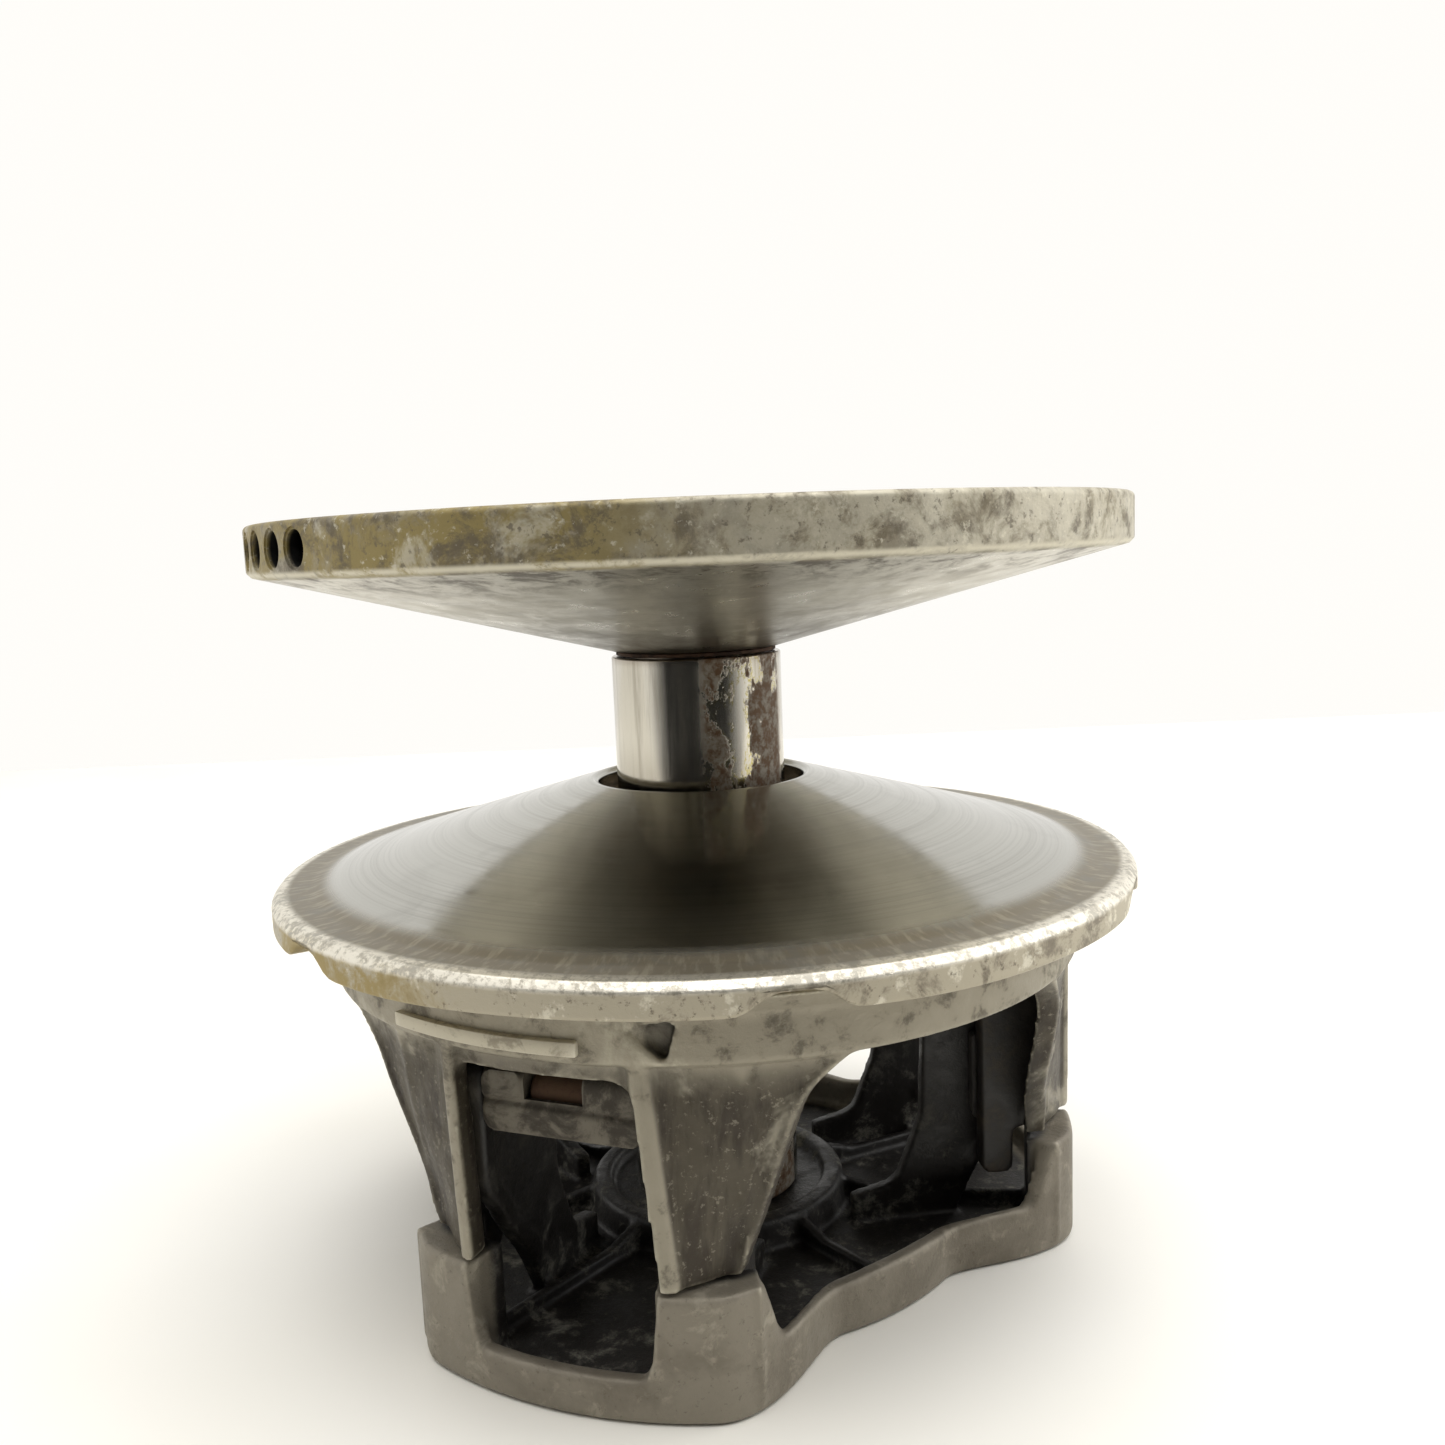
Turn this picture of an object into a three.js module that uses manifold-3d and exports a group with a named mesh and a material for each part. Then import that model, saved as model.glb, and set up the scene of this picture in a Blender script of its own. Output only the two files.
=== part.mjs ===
// Variable-ratio drive clutch (primary belt pulley) of the roller-and-lever kind.
// Units are millimetres. +Z runs up the shaft, and the clutch stands on its governor cup at z = 0.
// Three lobes, each with a tower, a window, two ears and a lever, are centred on the angles in LOBE_ANGLES.
import * as THREE from "three";
import { mergeVertices } from "three/addons/utils/BufferGeometryUtils.js";
import Module from "manifold-3d";

const wasm = await Module();
wasm.setup();

// ---------------------------------------------------------------- driving dimensions
const LOBE_ANGLES = [-90, 30, 150];
const SIDES = [-1, 1]; // the two sides of a lobe's centre line
const GAP = 0.3; // clearance kept between neighbouring pieces
const RUN = 0.15; // clearance of a sliding or turning fit
const ROUND = 60; // segments of the large turned pieces
const SMALL_ROUND = 16; // segments of pins, screws and bushes

// Fixed sheave
const FIXED_R = 104.0;
const RIM_LAND = 8.8; // width of the flat on top of its rim
const RIM_TOP = 181.2;
const RIM_BOTTOM = 170.0;
const FIXED_HUB_Z = 148.4; // small end of its belt face
const SPIGOT_R = 17.0; // post inside the fixed sheave's hub
const BALANCE_HOLE_R = 3.7;
const BALANCE_HOLE_Z = 175.6;
const BALANCE_HOLES = [-134, -127.9, -121.5, -115.5];
const BACK_CONE_R = FIXED_R - RIM_LAND - 2.5; // large end of the cone on its back
const BACK_SLOPE = 12.3 / (BACK_CONE_R - 40);
const BACK_RIBS = 6;
const BACK_RIB_T = 4.4;

// Post
const POST_R = 21.0;
const POST_BOTTOM = 9.3;
const POST_SHOULDER = 146.9;
const TAPER_MOUTH_R = 14.0;
const TAPER_END_R = 11.0;
const TAPER_END_Z = 112.0;
const BOLT_R = 7.0;
const CLUTCH_BOLT_FLATS = 19.0; // hexagon head, across flats
const CLUTCH_BOLT_SEAT_Z = 4.0;
const CLUTCH_BOLT_TOP = 108.0;

// Sliding sheave
const SLIDE_R = 105.1;
const FACE_EDGE_Z = 94.5; // outer edge of its belt face
const FACE_HUB_Z = 116.9; // inner edge of its belt face
const BORE_R = 25.7;
const HUB_R = 30.5;
const HUB_BOTTOM = 60.0;
const HUB_FLANGE_R = 36.0; // flange at the hub's lower end, where the spring cover is screwed on
const SKIRT_R = 91.5;
const SKIRT_T = 4.0;
const SKIRT_BOTTOM = 75.0;
const SLIDING_RIM_Z = 89.2;
const TRAVEL = 30.0;
const CONE_FILLET = 4.0;
const CONE_START_R = HUB_R + CONE_FILLET; // underside of the cone, from the hub ...
const CONE_START_Z = 107.2;
const CONE_END_Z = 92.6; // ... to the skirt

// Towers below the skirt
const LEG_R = 88.5;
const LEG_T = 4.2;
const LEG_FOOT_Z = 28.3;
const WINDOW_HALF = 18.3; // half width of a window at its top
const WINDOW_TOP = 71.0;
const SIDE_WALL_V = 30.5; // middle of a tower's side wall from the lobe's centre line
const SIDE_WALL_T = 5.0;
const SIDE_WALL_FOOT_Z = 17.5;

// Governor cup
const CUP_LOBE_R = 90.5;
const CUP_FLANK_R = 67.0;
const CUP_FLOOR_T = 4.0;
const CUP_WALL_T = 4.0;
const CUP_WALL_Z = 13.0;
const CUP_LOW_WALL_Z = 9.5; // top of the wall below a window ...
const CUP_LOW_WALL_HALF = 19.5; // ... which is this far each side of the lobe's centre line
const CORNER_TOP = 27.4;
const RING_R = 32.5;
const RING_BORE_R = 27.6;
const RING_TOP = 11.4;
const CUP_RIB_ANGLES = [-17, 17, 60]; // from each lobe's centre line
const EAR_V = 22.0;
const EAR_T = 5.0;

// Levers, rollers and ramps
const PIVOT_U = 74.5; // lever pivot's radius from the shaft axis
const PIVOT_Z = 62.0;
const LEVER_BOLT_R = 3.0;
const LEVER_HEX_R = 4.6; // corner radius of the lever bolts' heads and nuts
const BUSH_R = 5.0;
const BUSH_ENDS = [-8.6, 4.0]; // where the bush ends, across the lobe
const ROLLER_PIN_R = 2.5;
const ROLLER_R = 7.0;
const ROLLER_W = 11.0;
const ARM_LENGTH = 27.5;
const ARM_T = 5.5; // thickness of each of a lever's two arms
const ARM_INNER = ROLLER_W / 2 + 0.8; // inner side of an arm from the lobe's centre line
const ARM_DROP_DEG = 20; // the arm hangs this much below level at rest
const LEVER_SWING_DEG = 58; // turn of a lever over the whole travel
const RAMP_HALF = 4.0; // half of a ramp's thickness
const RAMP_TOP = 88.2;
const CHEEK_T = 3.2; // each cheek of the clevis that holds a ramp
const RAMP_SCREW_R = 2.0;
const RAMP_SCREW_U = 53.0;
const RAMP_SCREW_Z = 84.0;

const FINISHES = {
  cast: { color: 0xb3ae9f, roughness: 0.55, metalness: 0.9 },
  cup: { color: 0x9c9a92, roughness: 0.6, metalness: 0.85 },
  steel: { color: 0xb9b6ae, roughness: 0.25, metalness: 1.0 },
  zinc: { color: 0xa8a59a, roughness: 0.4, metalness: 1.0 },
  rusty: { color: 0x6b4632, roughness: 0.8, metalness: 0.6 },
  spring: { color: 0x5f6268, roughness: 0.45, metalness: 1.0 },
  polymer: { color: 0x2c2a27, roughness: 0.7, metalness: 0.0 },
  bronze: { color: 0x8a6b3c, roughness: 0.45, metalness: 1.0 },
};

// ---------------------------------------------------------------- solid modelling helpers
const rad = THREE.MathUtils.degToRad;

// A closed three.js geometry as a manifold-3d solid.
function solid(geometry) {
  const bare = geometry.clone();
  bare.deleteAttribute("normal");
  bare.deleteAttribute("uv");
  const merged = mergeVertices(bare, 1e-4);
  return new wasm.Manifold(
    new wasm.Mesh({
      numProp: 3,
      vertProperties: merged.attributes.position.array,
      triVerts: new Uint32Array(merged.index.array),
    }),
  );
}

// A manifold-3d solid as a three.js geometry.
function geometryOf(body) {
  const mesh = body.getMesh();
  const stride = mesh.numProp;
  const positions = new Float32Array(mesh.numVert * 3);
  for (let i = 0; i < mesh.numVert; i++) {
    positions.set(mesh.vertProperties.subarray(i * stride, i * stride + 3), i * 3);
  }
  const geometry = new THREE.BufferGeometry();
  geometry.setAttribute("position", new THREE.BufferAttribute(positions, 3));
  geometry.setIndex(new THREE.BufferAttribute(new Uint32Array(mesh.triVerts), 1));
  const flat = geometry.toNonIndexed();
  flat.computeVertexNormals();
  return flat;
}

function join(first, ...others) {
  return others.reduce((whole, part) => whole.add(part), first);
}

function cut(first, ...others) {
  return others.reduce((whole, part) => whole.subtract(part), first);
}

// Turned solid about Z from a list of [radius, z] points, given anticlockwise in the (radius, z) plane.
function turned(points, segments = ROUND) {
  const profile = points.map(([r, z]) => new THREE.Vector2(r, z));
  profile.push(profile[0].clone());
  const geometry = new THREE.LatheGeometry(profile, segments);
  geometry.rotateX(Math.PI / 2);
  return solid(geometry);
}

// Upright cylinder between two heights.
function cylinder(r, z0, z1, segments = SMALL_ROUND, x = 0, y = 0, topR = r) {
  const geometry = new THREE.CylinderGeometry(topR, r, z1 - z0, segments);
  geometry.rotateX(Math.PI / 2);
  geometry.translate(x, y, (z0 + z1) / 2);
  return solid(geometry);
}

// Upright ring between two radii and two heights.
function ring(inner, outer, z0, z1, segments = ROUND) {
  return turned([[inner, z0], [outer, z0], [outer, z1], [inner, z1]], segments);
}

// Cylinder lying along Y, between y0 and y1, about the axis through (x, z).
function crossPin(r, x, z, y0, y1, segments = SMALL_ROUND) {
  const geometry = new THREE.CylinderGeometry(r, r, y1 - y0, segments);
  geometry.translate(x, (y0 + y1) / 2, z);
  return solid(geometry);
}

function box(x0, x1, y0, y1, z0, z1) {
  const geometry = new THREE.BoxGeometry(x1 - x0, y1 - y0, z1 - z0);
  geometry.translate((x0 + x1) / 2, (y0 + y1) / 2, (z0 + z1) / 2);
  return solid(geometry);
}

// Flat outline in the XY plane, drawn out from z0 to z1.
function plate(shape, z0, z1, curveSegments = 3) {
  const settings = { depth: z1 - z0, bevelEnabled: false, curveSegments };
  const geometry = new THREE.ExtrudeGeometry(shape, settings);
  geometry.translate(0, 0, z0);
  return solid(geometry);
}

// Outline in the lobe's upright plane, x = radius and y = height, drawn out across the lobe from v0 to v1.
function uprightPlate(shape, v0, v1, curveSegments = 3) {
  const settings = { depth: v1 - v0, bevelEnabled: false, curveSegments };
  const geometry = new THREE.ExtrudeGeometry(shape, settings);
  geometry.rotateX(Math.PI / 2);
  geometry.translate(0, v1, 0);
  return solid(geometry);
}

// Outline seen from outside a lobe, x = across and y = height, drawn outwards from radius u0 to u1.
function outwardPlate(shape, u0, u1, curveSegments = 4) {
  const settings = { depth: u1 - u0, bevelEnabled: false, curveSegments };
  const geometry = new THREE.ExtrudeGeometry(shape, settings);
  geometry.rotateX(Math.PI / 2);
  geometry.rotateZ(Math.PI / 2);
  geometry.translate(u0, 0, 0);
  return solid(geometry);
}

// Closed outline through corner points, each rounded with its own radius.
function roundedOutline(corners) {
  const shape = new THREE.Shape();
  const count = corners.length;
  corners.forEach(([x, y, r = 0], i) => {
    const here = new THREE.Vector2(x, y);
    const before = new THREE.Vector2(...corners[(i + count - 1) % count].slice(0, 2));
    const after = new THREE.Vector2(...corners[(i + 1) % count].slice(0, 2));
    const start = here.clone().add(before.sub(here).setLength(r));
    const end = here.clone().add(after.sub(here).setLength(r));
    if (i === 0) {
      shape.moveTo(start.x, start.y);
    } else {
      shape.lineTo(start.x, start.y);
    }
    if (r > 0) {
      shape.quadraticCurveTo(x, y, end.x, end.y);
    }
  });
  shape.closePath();
  return shape;
}

// Sector of an upright ring between two angles, in degrees, about the lobe's centre line (+X).
function sector(inner, outer, a0, a1, z0, z1, steps = 8) {
  const shape = new THREE.Shape();
  shape.absarc(0, 0, outer, rad(a0), rad(a1), false);
  shape.absarc(0, 0, inner, rad(a1), rad(a0), true);
  return plate(shape, z0, z1, steps);
}

// Hexagonal prism along Z, with the given width across flats.
function hexagon(acrossFlats, z0, z1, x = 0, y = 0) {
  return cylinder(acrossFlats / Math.sqrt(3), z0, z1, 6, x, y);
}

function named(name, body, finish) {
  const mesh = new THREE.Mesh(geometryOf(body), new THREE.MeshStandardMaterial(FINISHES[finish]));
  mesh.name = name;
  return mesh;
}

// The same solid on each lobe, joined to or cut from a body.
function onLobes(body) {
  return LOBE_ANGLES.map((angle) => body.rotate([0, 0, angle]));
}

// ---------------------------------------------------------------- fixed sheave and shaft
function fixedSheave() {
  const body = turned([
    [SPIGOT_R + GAP, FIXED_HUB_Z],
    [POST_R, FIXED_HUB_Z],
    [FIXED_R - 1.6, RIM_BOTTOM - 0.4],
    [FIXED_R, RIM_BOTTOM + 1.2],
    [FIXED_R, RIM_TOP - 1.4],
    [FIXED_R - 1.4, RIM_TOP],
    [FIXED_R - RIM_LAND, RIM_TOP],
    [BACK_CONE_R, RIM_TOP - 5.2],
    [40.0, RIM_TOP - 17.5],
    [34.0, RIM_TOP - 16.5],
    [31.0, RIM_TOP - 1.2],
    [SPIGOT_R + GAP, RIM_TOP - 1.2],
  ]);
  const holes = BALANCE_HOLES.map((angle) =>
    crossPin(BALANCE_HOLE_R, 0, BALANCE_HOLE_Z, BACK_CONE_R + 0.5, FIXED_R + 2).rotate([0, 0, angle - 90]),
  );
  return cut(body, ...holes);
}

// One stiffening rib on the back of the fixed sheave, on the +X side, clear of the hub, the cone and the rim.
function backRib() {
  const [hubEnd, rimEnd] = [36.5, BACK_CONE_R - 0.8];
  const coneTop = (r) => RIM_TOP - 17.5 + (r - 40) * BACK_SLOPE;
  const outline = roundedOutline([
    [hubEnd, coneTop(40) + 3 * GAP],
    [40, coneTop(40) + 2 * GAP],
    [rimEnd, coneTop(rimEnd) + GAP],
    [rimEnd, RIM_TOP - 2.2],
    [hubEnd, RIM_TOP - 4.4],
  ]);
  return uprightPlate(outline, -BACK_RIB_T / 2, BACK_RIB_T / 2);
}

function post() {
  const body = turned([
    [BOLT_R + 0.6, POST_BOTTOM],
    [POST_R - 1, POST_BOTTOM],
    [POST_R, POST_BOTTOM + 1],
    [POST_R, POST_SHOULDER],
    [SPIGOT_R, POST_SHOULDER],
    [SPIGOT_R, RIM_TOP],
    [TAPER_MOUTH_R, RIM_TOP],
    [TAPER_END_R, TAPER_END_Z],
    [BOLT_R + 0.6, TAPER_END_Z],
  ], 48);
  return body;
}

function slidingSheave() {
  const skirtInner = SKIRT_R - SKIRT_T;
  const body = turned([
    [BORE_R, HUB_BOTTOM],
    [HUB_FLANGE_R, HUB_BOTTOM],
    [HUB_FLANGE_R, HUB_BOTTOM + 5],
    [HUB_R, HUB_BOTTOM + 8],
    [HUB_R, CONE_START_Z - CONE_FILLET],
    [CONE_START_R, CONE_START_Z],
    [skirtInner - CONE_FILLET, CONE_END_Z],
    [skirtInner, CONE_END_Z - CONE_FILLET],
    [skirtInner, SKIRT_BOTTOM],
    [SKIRT_R, SKIRT_BOTTOM],
    [SKIRT_R, 86.6],
    [SKIRT_R + 3.5, SLIDING_RIM_Z],
    [SLIDE_R - 0.8, SLIDING_RIM_Z],
    [SLIDE_R, SLIDING_RIM_Z + 0.8],
    [SLIDE_R, FACE_EDGE_Z],
    [SLIDE_R - 1.6, FACE_EDGE_Z + 1.9],
    [SLIDE_R - 3.4, FACE_EDGE_Z + 2.3],
    [SLIDE_R - 9, FACE_EDGE_Z + 2.6],
    [BORE_R + 1.2, FACE_HUB_Z],
    [BORE_R, FACE_HUB_Z - 0.8],
  ]);
  const scallops = [];
  for (const side of SIDES) {
    const scoop = crossPin(9.0, 0, 84.2, 96.2, SLIDE_R + 3, 20).rotate([0, 0, side * 32 - 90]);
    scallops.push(...onLobes(scoop));
  }
  return cut(join(body, ...onLobes(skirtBar())), ...scallops);
}

// Room taken up by the sheave's cone and skirt, grown by the clearance and cleared from the pieces below it.
function sheaveRoom() {
  const inner = SKIRT_R - SKIRT_T - GAP;
  return turned([
    [inner, SKIRT_BOTTOM - GAP],
    [SLIDE_R, SKIRT_BOTTOM - GAP],
    [SLIDE_R, FACE_HUB_Z],
    [CONE_START_R, FACE_HUB_Z],
    [CONE_START_R, CONE_START_Z - GAP],
    [inner + GAP - CONE_FILLET, CONE_END_Z - GAP],
    [inner, CONE_END_Z - CONE_FILLET - GAP],
  ]);
}

// Raised bar across the skirt above one window.
function skirtBar() {
  return sector(SKIRT_R - 1, SKIRT_R + 1.5, -25, 6, 77.2, 80.4, 5);
}

// One tower, on the lobe's centre line (+X): a curved outer wall with two raised beads, and two side walls.
function tower() {
  const wallInner = LEG_R - LEG_T;
  const wall = sector(wallInner, LEG_R, -40, 40, LEG_FOOT_Z, SKIRT_BOTTOM + 8, 24);
  const trims = SIDES.map((side) => {
    const edge = new THREE.Shape();
    edge.moveTo(side * 64, LEG_FOOT_Z - 1);
    edge.lineTo(side * 35.0, LEG_FOOT_Z - 1);
    edge.lineTo(side * 36.0, LEG_FOOT_Z + 4);
    edge.lineTo(side * 49.5, SKIRT_BOTTOM - 10);
    edge.quadraticCurveTo(side * 53, SKIRT_BOTTOM - 2, side * 60, SKIRT_BOTTOM);
    edge.lineTo(side * 64, SKIRT_BOTTOM);
    edge.closePath();
    return outwardPlate(edge, 45, 100);
  });
  const beads = SIDES.map((side) =>
    sector(LEG_R - 1, LEG_R + 1.4, side * 14 - 2.2, side * 14 + 2.2, LEG_FOOT_Z, SKIRT_BOTTOM, 2),
  );
  const sideWalls = SIDES.map((side) => {
    const outline = roundedOutline([
      [61, SIDE_WALL_FOOT_Z, 3],
      [69, SIDE_WALL_FOOT_Z, 3],
      [69, LEG_FOOT_Z, 1],
      [78, LEG_FOOT_Z + 3],
      [80.5, 96],
      [61, 101],
    ]);
    const middle = side * SIDE_WALL_V;
    return uprightPlate(outline, middle - SIDE_WALL_T / 2, middle + SIDE_WALL_T / 2);
  });
  return cut(join(cut(wall, ...trims), ...beads, ...sideWalls), windowCut(), sheaveRoom());
}

// Clevis under the cone that holds one ramp: two cheeks joined by a web above the ramp.
function rampClevis() {
  const outline = roundedOutline([[46, 80, 3], [60, 80, 3], [62, 101], [44, 105]]);
  const inner = RAMP_HALF + GAP;
  const outer = inner + CHEEK_T;
  const cheeks = [uprightPlate(outline, inner, outer), uprightPlate(outline, -outer, -inner)];
  const web = box(47, 59, -inner - 1, inner + 1, RAMP_TOP + GAP, CONE_START_Z);
  const screwHole = crossPin(RAMP_SCREW_R + 0.1, RAMP_SCREW_U, RAMP_SCREW_Z, -outer - 1, outer + 1);
  return cut(join(web, ...cheeks), screwHole, sheaveRoom());
}

// The window of one tower: open at the foot, with rounded upper corners.
function windowCut() {
  const outline = roundedOutline([
    [-WINDOW_HALF - 1.6, LEG_FOOT_Z - 12],
    [WINDOW_HALF + 3.2, LEG_FOOT_Z - 12],
    [WINDOW_HALF, WINDOW_TOP, 5],
    [-WINDOW_HALF - 1.2, WINDOW_TOP, 3],
  ]);
  return outwardPlate(outline, LEG_R - LEG_T - 4, LEG_R + 6);
}

function hubSpacer() {
  return ring(SPIGOT_R + GAP, POST_R - 1.2, POST_SHOULDER + GAP, FIXED_HUB_Z - GAP, 32);
}

// ---------------------------------------- spring pack inside the sliding sheave's hub
const COLLAR_BOTTOM = 104.0;
const COLLAR_TOP = 111.0;
const COVER_TOP = HUB_BOTTOM - GAP;
const COVER_BOTTOM = COVER_TOP - 4.2;
const COVER_BORE_R = POST_R + 2.4;
const COVER_SCREW_R = 33.3; // radius of the circle that the screws stand on
const COVER_SCREWS = 6;
const COVER_LIP = 2.2; // rim of the cover that enters the bore and carries the spring
const SPRING_WIRE_R = 1.5;
const SPRING_TURNS = 4;

function guideCollar() {
  return ring(POST_R + GAP, BORE_R - RUN, COLLAR_BOTTOM, COLLAR_TOP, 32);
}

function springCover() {
  const disc = ring(COVER_BORE_R, HUB_FLANGE_R, COVER_BOTTOM, COVER_TOP, 48);
  const lip = ring(COVER_BORE_R, BORE_R - RUN, COVER_TOP - 1, COVER_TOP + COVER_LIP, 48);
  const holes = [];
  for (let i = 0; i < COVER_SCREWS; i++) {
    const angle = rad(60 * i);
    const [x, y] = [COVER_SCREW_R * Math.cos(angle), COVER_SCREW_R * Math.sin(angle)];
    holes.push(cylinder(1.9, COVER_BOTTOM - 1, COVER_TOP + 1, 12, x, y));
  }
  return cut(join(disc, lip), ...holes);
}

function coverScrew() {
  const shank = cylinder(1.6, COVER_BOTTOM - 0.4, COVER_TOP + GAP, 12);
  const head = cylinder(2.6, COVER_BOTTOM - GAP - 1.8, COVER_BOTTOM - GAP, 12);
  return join(shank, head);
}

// Coil spring between the collar and the cover lip: a square-ended helix with a round wire.
class Helix extends THREE.Curve {
  constructor(radius, z0, z1, turns) {
    super();
    Object.assign(this, { radius, z0, z1, turns });
  }

  getPoint(t, target = new THREE.Vector3()) {
    const angle = t * this.turns * 2 * Math.PI;
    const z = this.z0 + (this.z1 - this.z0) * t;
    return target.set(this.radius * Math.cos(angle), this.radius * Math.sin(angle), z);
  }
}

function mainSpring() {
  const z0 = COVER_TOP + COVER_LIP + GAP + SPRING_WIRE_R;
  const z1 = COLLAR_BOTTOM - GAP - SPRING_WIRE_R;
  const section = new THREE.Shape();
  section.absarc(0, 0, SPRING_WIRE_R, 0, 2 * Math.PI, false);
  const path = new Helix((POST_R + BORE_R) / 2, z0, z1, SPRING_TURNS);
  const settings = { steps: 72, extrudePath: path, bevelEnabled: false, curveSegments: 3 };
  return solid(new THREE.ExtrudeGeometry(section, settings));
}

// ---------------------------------------------------------------- governor cup
// Radius of the cup's outline at an angle from the nearest lobe's centre line.
function cupRadius(fromLobe) {
  const flat = 21;
  const flank = 46;
  const share = THREE.MathUtils.smoothstep(Math.abs(fromLobe), flat, flank);
  return CUP_LOBE_R + (CUP_FLANK_R - CUP_LOBE_R) * share;
}

function cupOutline(inset, step = 6) {
  const shape = new THREE.Shape();
  for (let a = 0; a < 360; a += step) {
    const fromLobe = ((a + 60) % 120) - 60;
    const r = cupRadius(fromLobe) - inset;
    const point = [r * Math.cos(rad(a + 30)), r * Math.sin(rad(a + 30))];
    if (a === 0) {
      shape.moveTo(...point);
    } else {
      shape.lineTo(...point);
    }
  }
  shape.closePath();
  return shape;
}

function governorCup() {
  const outer = plate(cupOutline(0), 0, CUP_WALL_Z);
  const cavity = plate(cupOutline(CUP_WALL_T), CUP_FLOOR_T, CUP_WALL_Z + 1);
  const hubRing = ring(RING_BORE_R - 0.1, RING_R, 0, RING_TOP);
  const seat = ring(BOLT_R + 1.2, RING_BORE_R, 5.4, POST_BOTTOM - GAP, 48);
  const recess = cylinder(RING_BORE_R, -1, 5.4, 48);
  const shell = join(cut(outer, cavity), hubRing);
  const lobes = onLobes(join(...cornerBlocks(), ...ears()));
  const ribs = CUP_RIB_ANGLES.flatMap((angle) => onLobes(cupRib(angle).rotate([0, 0, angle])));
  const lowWall = box(
    CUP_LOBE_R - 14,
    CUP_LOBE_R + 2,
    -CUP_LOW_WALL_HALF,
    CUP_LOW_WALL_HALF,
    CUP_LOW_WALL_Z,
    CUP_WALL_Z + 1,
  );
  const body = join(shell, ...ribs, ...lobes);
  return join(cut(body, recess, ...onLobes(lowWall)), seat);
}

// Low rib along +X from the hub ring to the wall, for a rib that stands this far from its lobe's centre line.
function cupRib(fromLobe) {
  const reach = cupRadius(fromLobe) - CUP_WALL_T / 2;
  const outline = roundedOutline([
    [RING_R - 2, 2],
    [reach, 2],
    [reach, 7.5],
    [RING_R + 9, 7.0],
    [RING_R - 2, 10.4],
  ]);
  return uprightPlate(outline, -1.1, 1.1);
}

// The raised corners that stand under a tower's feet.
function cornerBlocks() {
  return SIDES.map((side) => {
    const a0 = side > 0 ? 13.4 : -27.5;
    const block = sector(79.5, CUP_LOBE_R - 0.9, a0, a0 + 14.1, 2, CORNER_TOP, 5);
    const footprint = plate(cupOutline(0), 0, CORNER_TOP + 2);
    return block.intersect(footprint.rotate([0, 0, -LOBE_ANGLES[1]]));
  });
}

// The two upright ears of a lobe, with the web that ties each one to the hub ring.
function ears() {
  const outline = roundedOutline([
    [RING_R - 2, 2],
    [56, 2, 1],
    [59, 8, 3],
    [66, 22, 8],
    [PIVOT_U + 5.5, 40, 6],
    [PIVOT_U + 5.5, PIVOT_Z + 7.2, 5],
    [50, PIVOT_Z + 7.2, 4],
    [48.5, 30, 12],
    [42, 13.5, 6],
    [RING_R - 2, 10.8],
  ]);
  return SIDES.map((side) => {
    const middle = side * EAR_V;
    const ear = uprightPlate(outline, middle - EAR_T / 2, middle + EAR_T / 2);
    return cut(ear, crossPin(LEVER_BOLT_R + RUN, PIVOT_U, PIVOT_Z, middle - EAR_T, middle + EAR_T));
  });
}

// ---------------------------------------- one lever set, in a group on the lobe's centre line
const ARM_ANGLE = rad(180 + ARM_DROP_DEG);
const ROLLER_U = PIVOT_U + ARM_LENGTH * Math.cos(ARM_ANGLE);
const ROLLER_Z = PIVOT_Z + ARM_LENGTH * Math.sin(ARM_ANGLE);
const HEAD_LEFT = -18.9; // a lever's head across the space between the ears
const HEAD_RIGHT = 17.6;

// Fork-shaped lever: a wide head round the pivot with a notch for the bush, and two arms to the roller.
function lever() {
  const head = roundedOutline([
    [PIVOT_U + 7.2, PIVOT_Z - 7.6, 2.4],
    [PIVOT_U + 7.2, PIVOT_Z + 6.6, 3],
    [PIVOT_U - 7.0, PIVOT_Z + 6.6, 4],
    [PIVOT_U - 9.0, PIVOT_Z - 7.6, 3],
  ]);
  const arm = roundedOutline([
    [PIVOT_U - 5, PIVOT_Z + 5.5, 2],
    [ROLLER_U - 5.2, ROLLER_Z + 5, 4.5],
    [ROLLER_U - 5.2, ROLLER_Z - 5, 4.5],
    [PIVOT_U - 5, PIVOT_Z - 7, 2],
  ]);
  const arms = SIDES.map((side) => {
    const [a, b] = [side * ARM_INNER, side * (ARM_INNER + ARM_T)];
    return uprightPlate(arm, Math.min(a, b), Math.max(a, b));
  });
  const notch = box(PIVOT_U - 20, PIVOT_U + 9, -9.0, 4.4, PIVOT_Z + 0.2, PIVOT_Z + 9);
  const bushRoom = crossPin(BUSH_R + GAP, PIVOT_U, PIVOT_Z, -9.0, 4.4);
  const rampRoom = box(PIVOT_U - 30, PIVOT_U - 5.6, -6.3, 6.3, PIVOT_Z - 20, PIVOT_Z + 20);
  const pivotHole = crossPin(LEVER_BOLT_R + RUN, PIVOT_U, PIVOT_Z, -30, 30);
  const rollerHole = crossPin(ROLLER_PIN_R + 0.1, ROLLER_U, ROLLER_Z, -30, 30);
  const block = join(uprightPlate(head, HEAD_LEFT, HEAD_RIGHT), ...arms);
  return cut(block, notch, bushRoom, rampRoom, pivotHole, rollerHole);
}

function leverBush() {
  const sleeve = crossPin(BUSH_R, PIVOT_U, PIVOT_Z, ...BUSH_ENDS);
  return cut(sleeve, crossPin(LEVER_BOLT_R + RUN, PIVOT_U, PIVOT_Z, -10, 10));
}

function leverBolt() {
  const reach = EAR_V + EAR_T / 2;
  const shank = crossPin(LEVER_BOLT_R, PIVOT_U, PIVOT_Z, -reach - 0.5, reach + 1.2);
  const head = crossPin(LEVER_HEX_R, PIVOT_U, PIVOT_Z, -reach - 2.6, -reach - GAP, 6);
  return join(shank, head);
}

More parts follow.
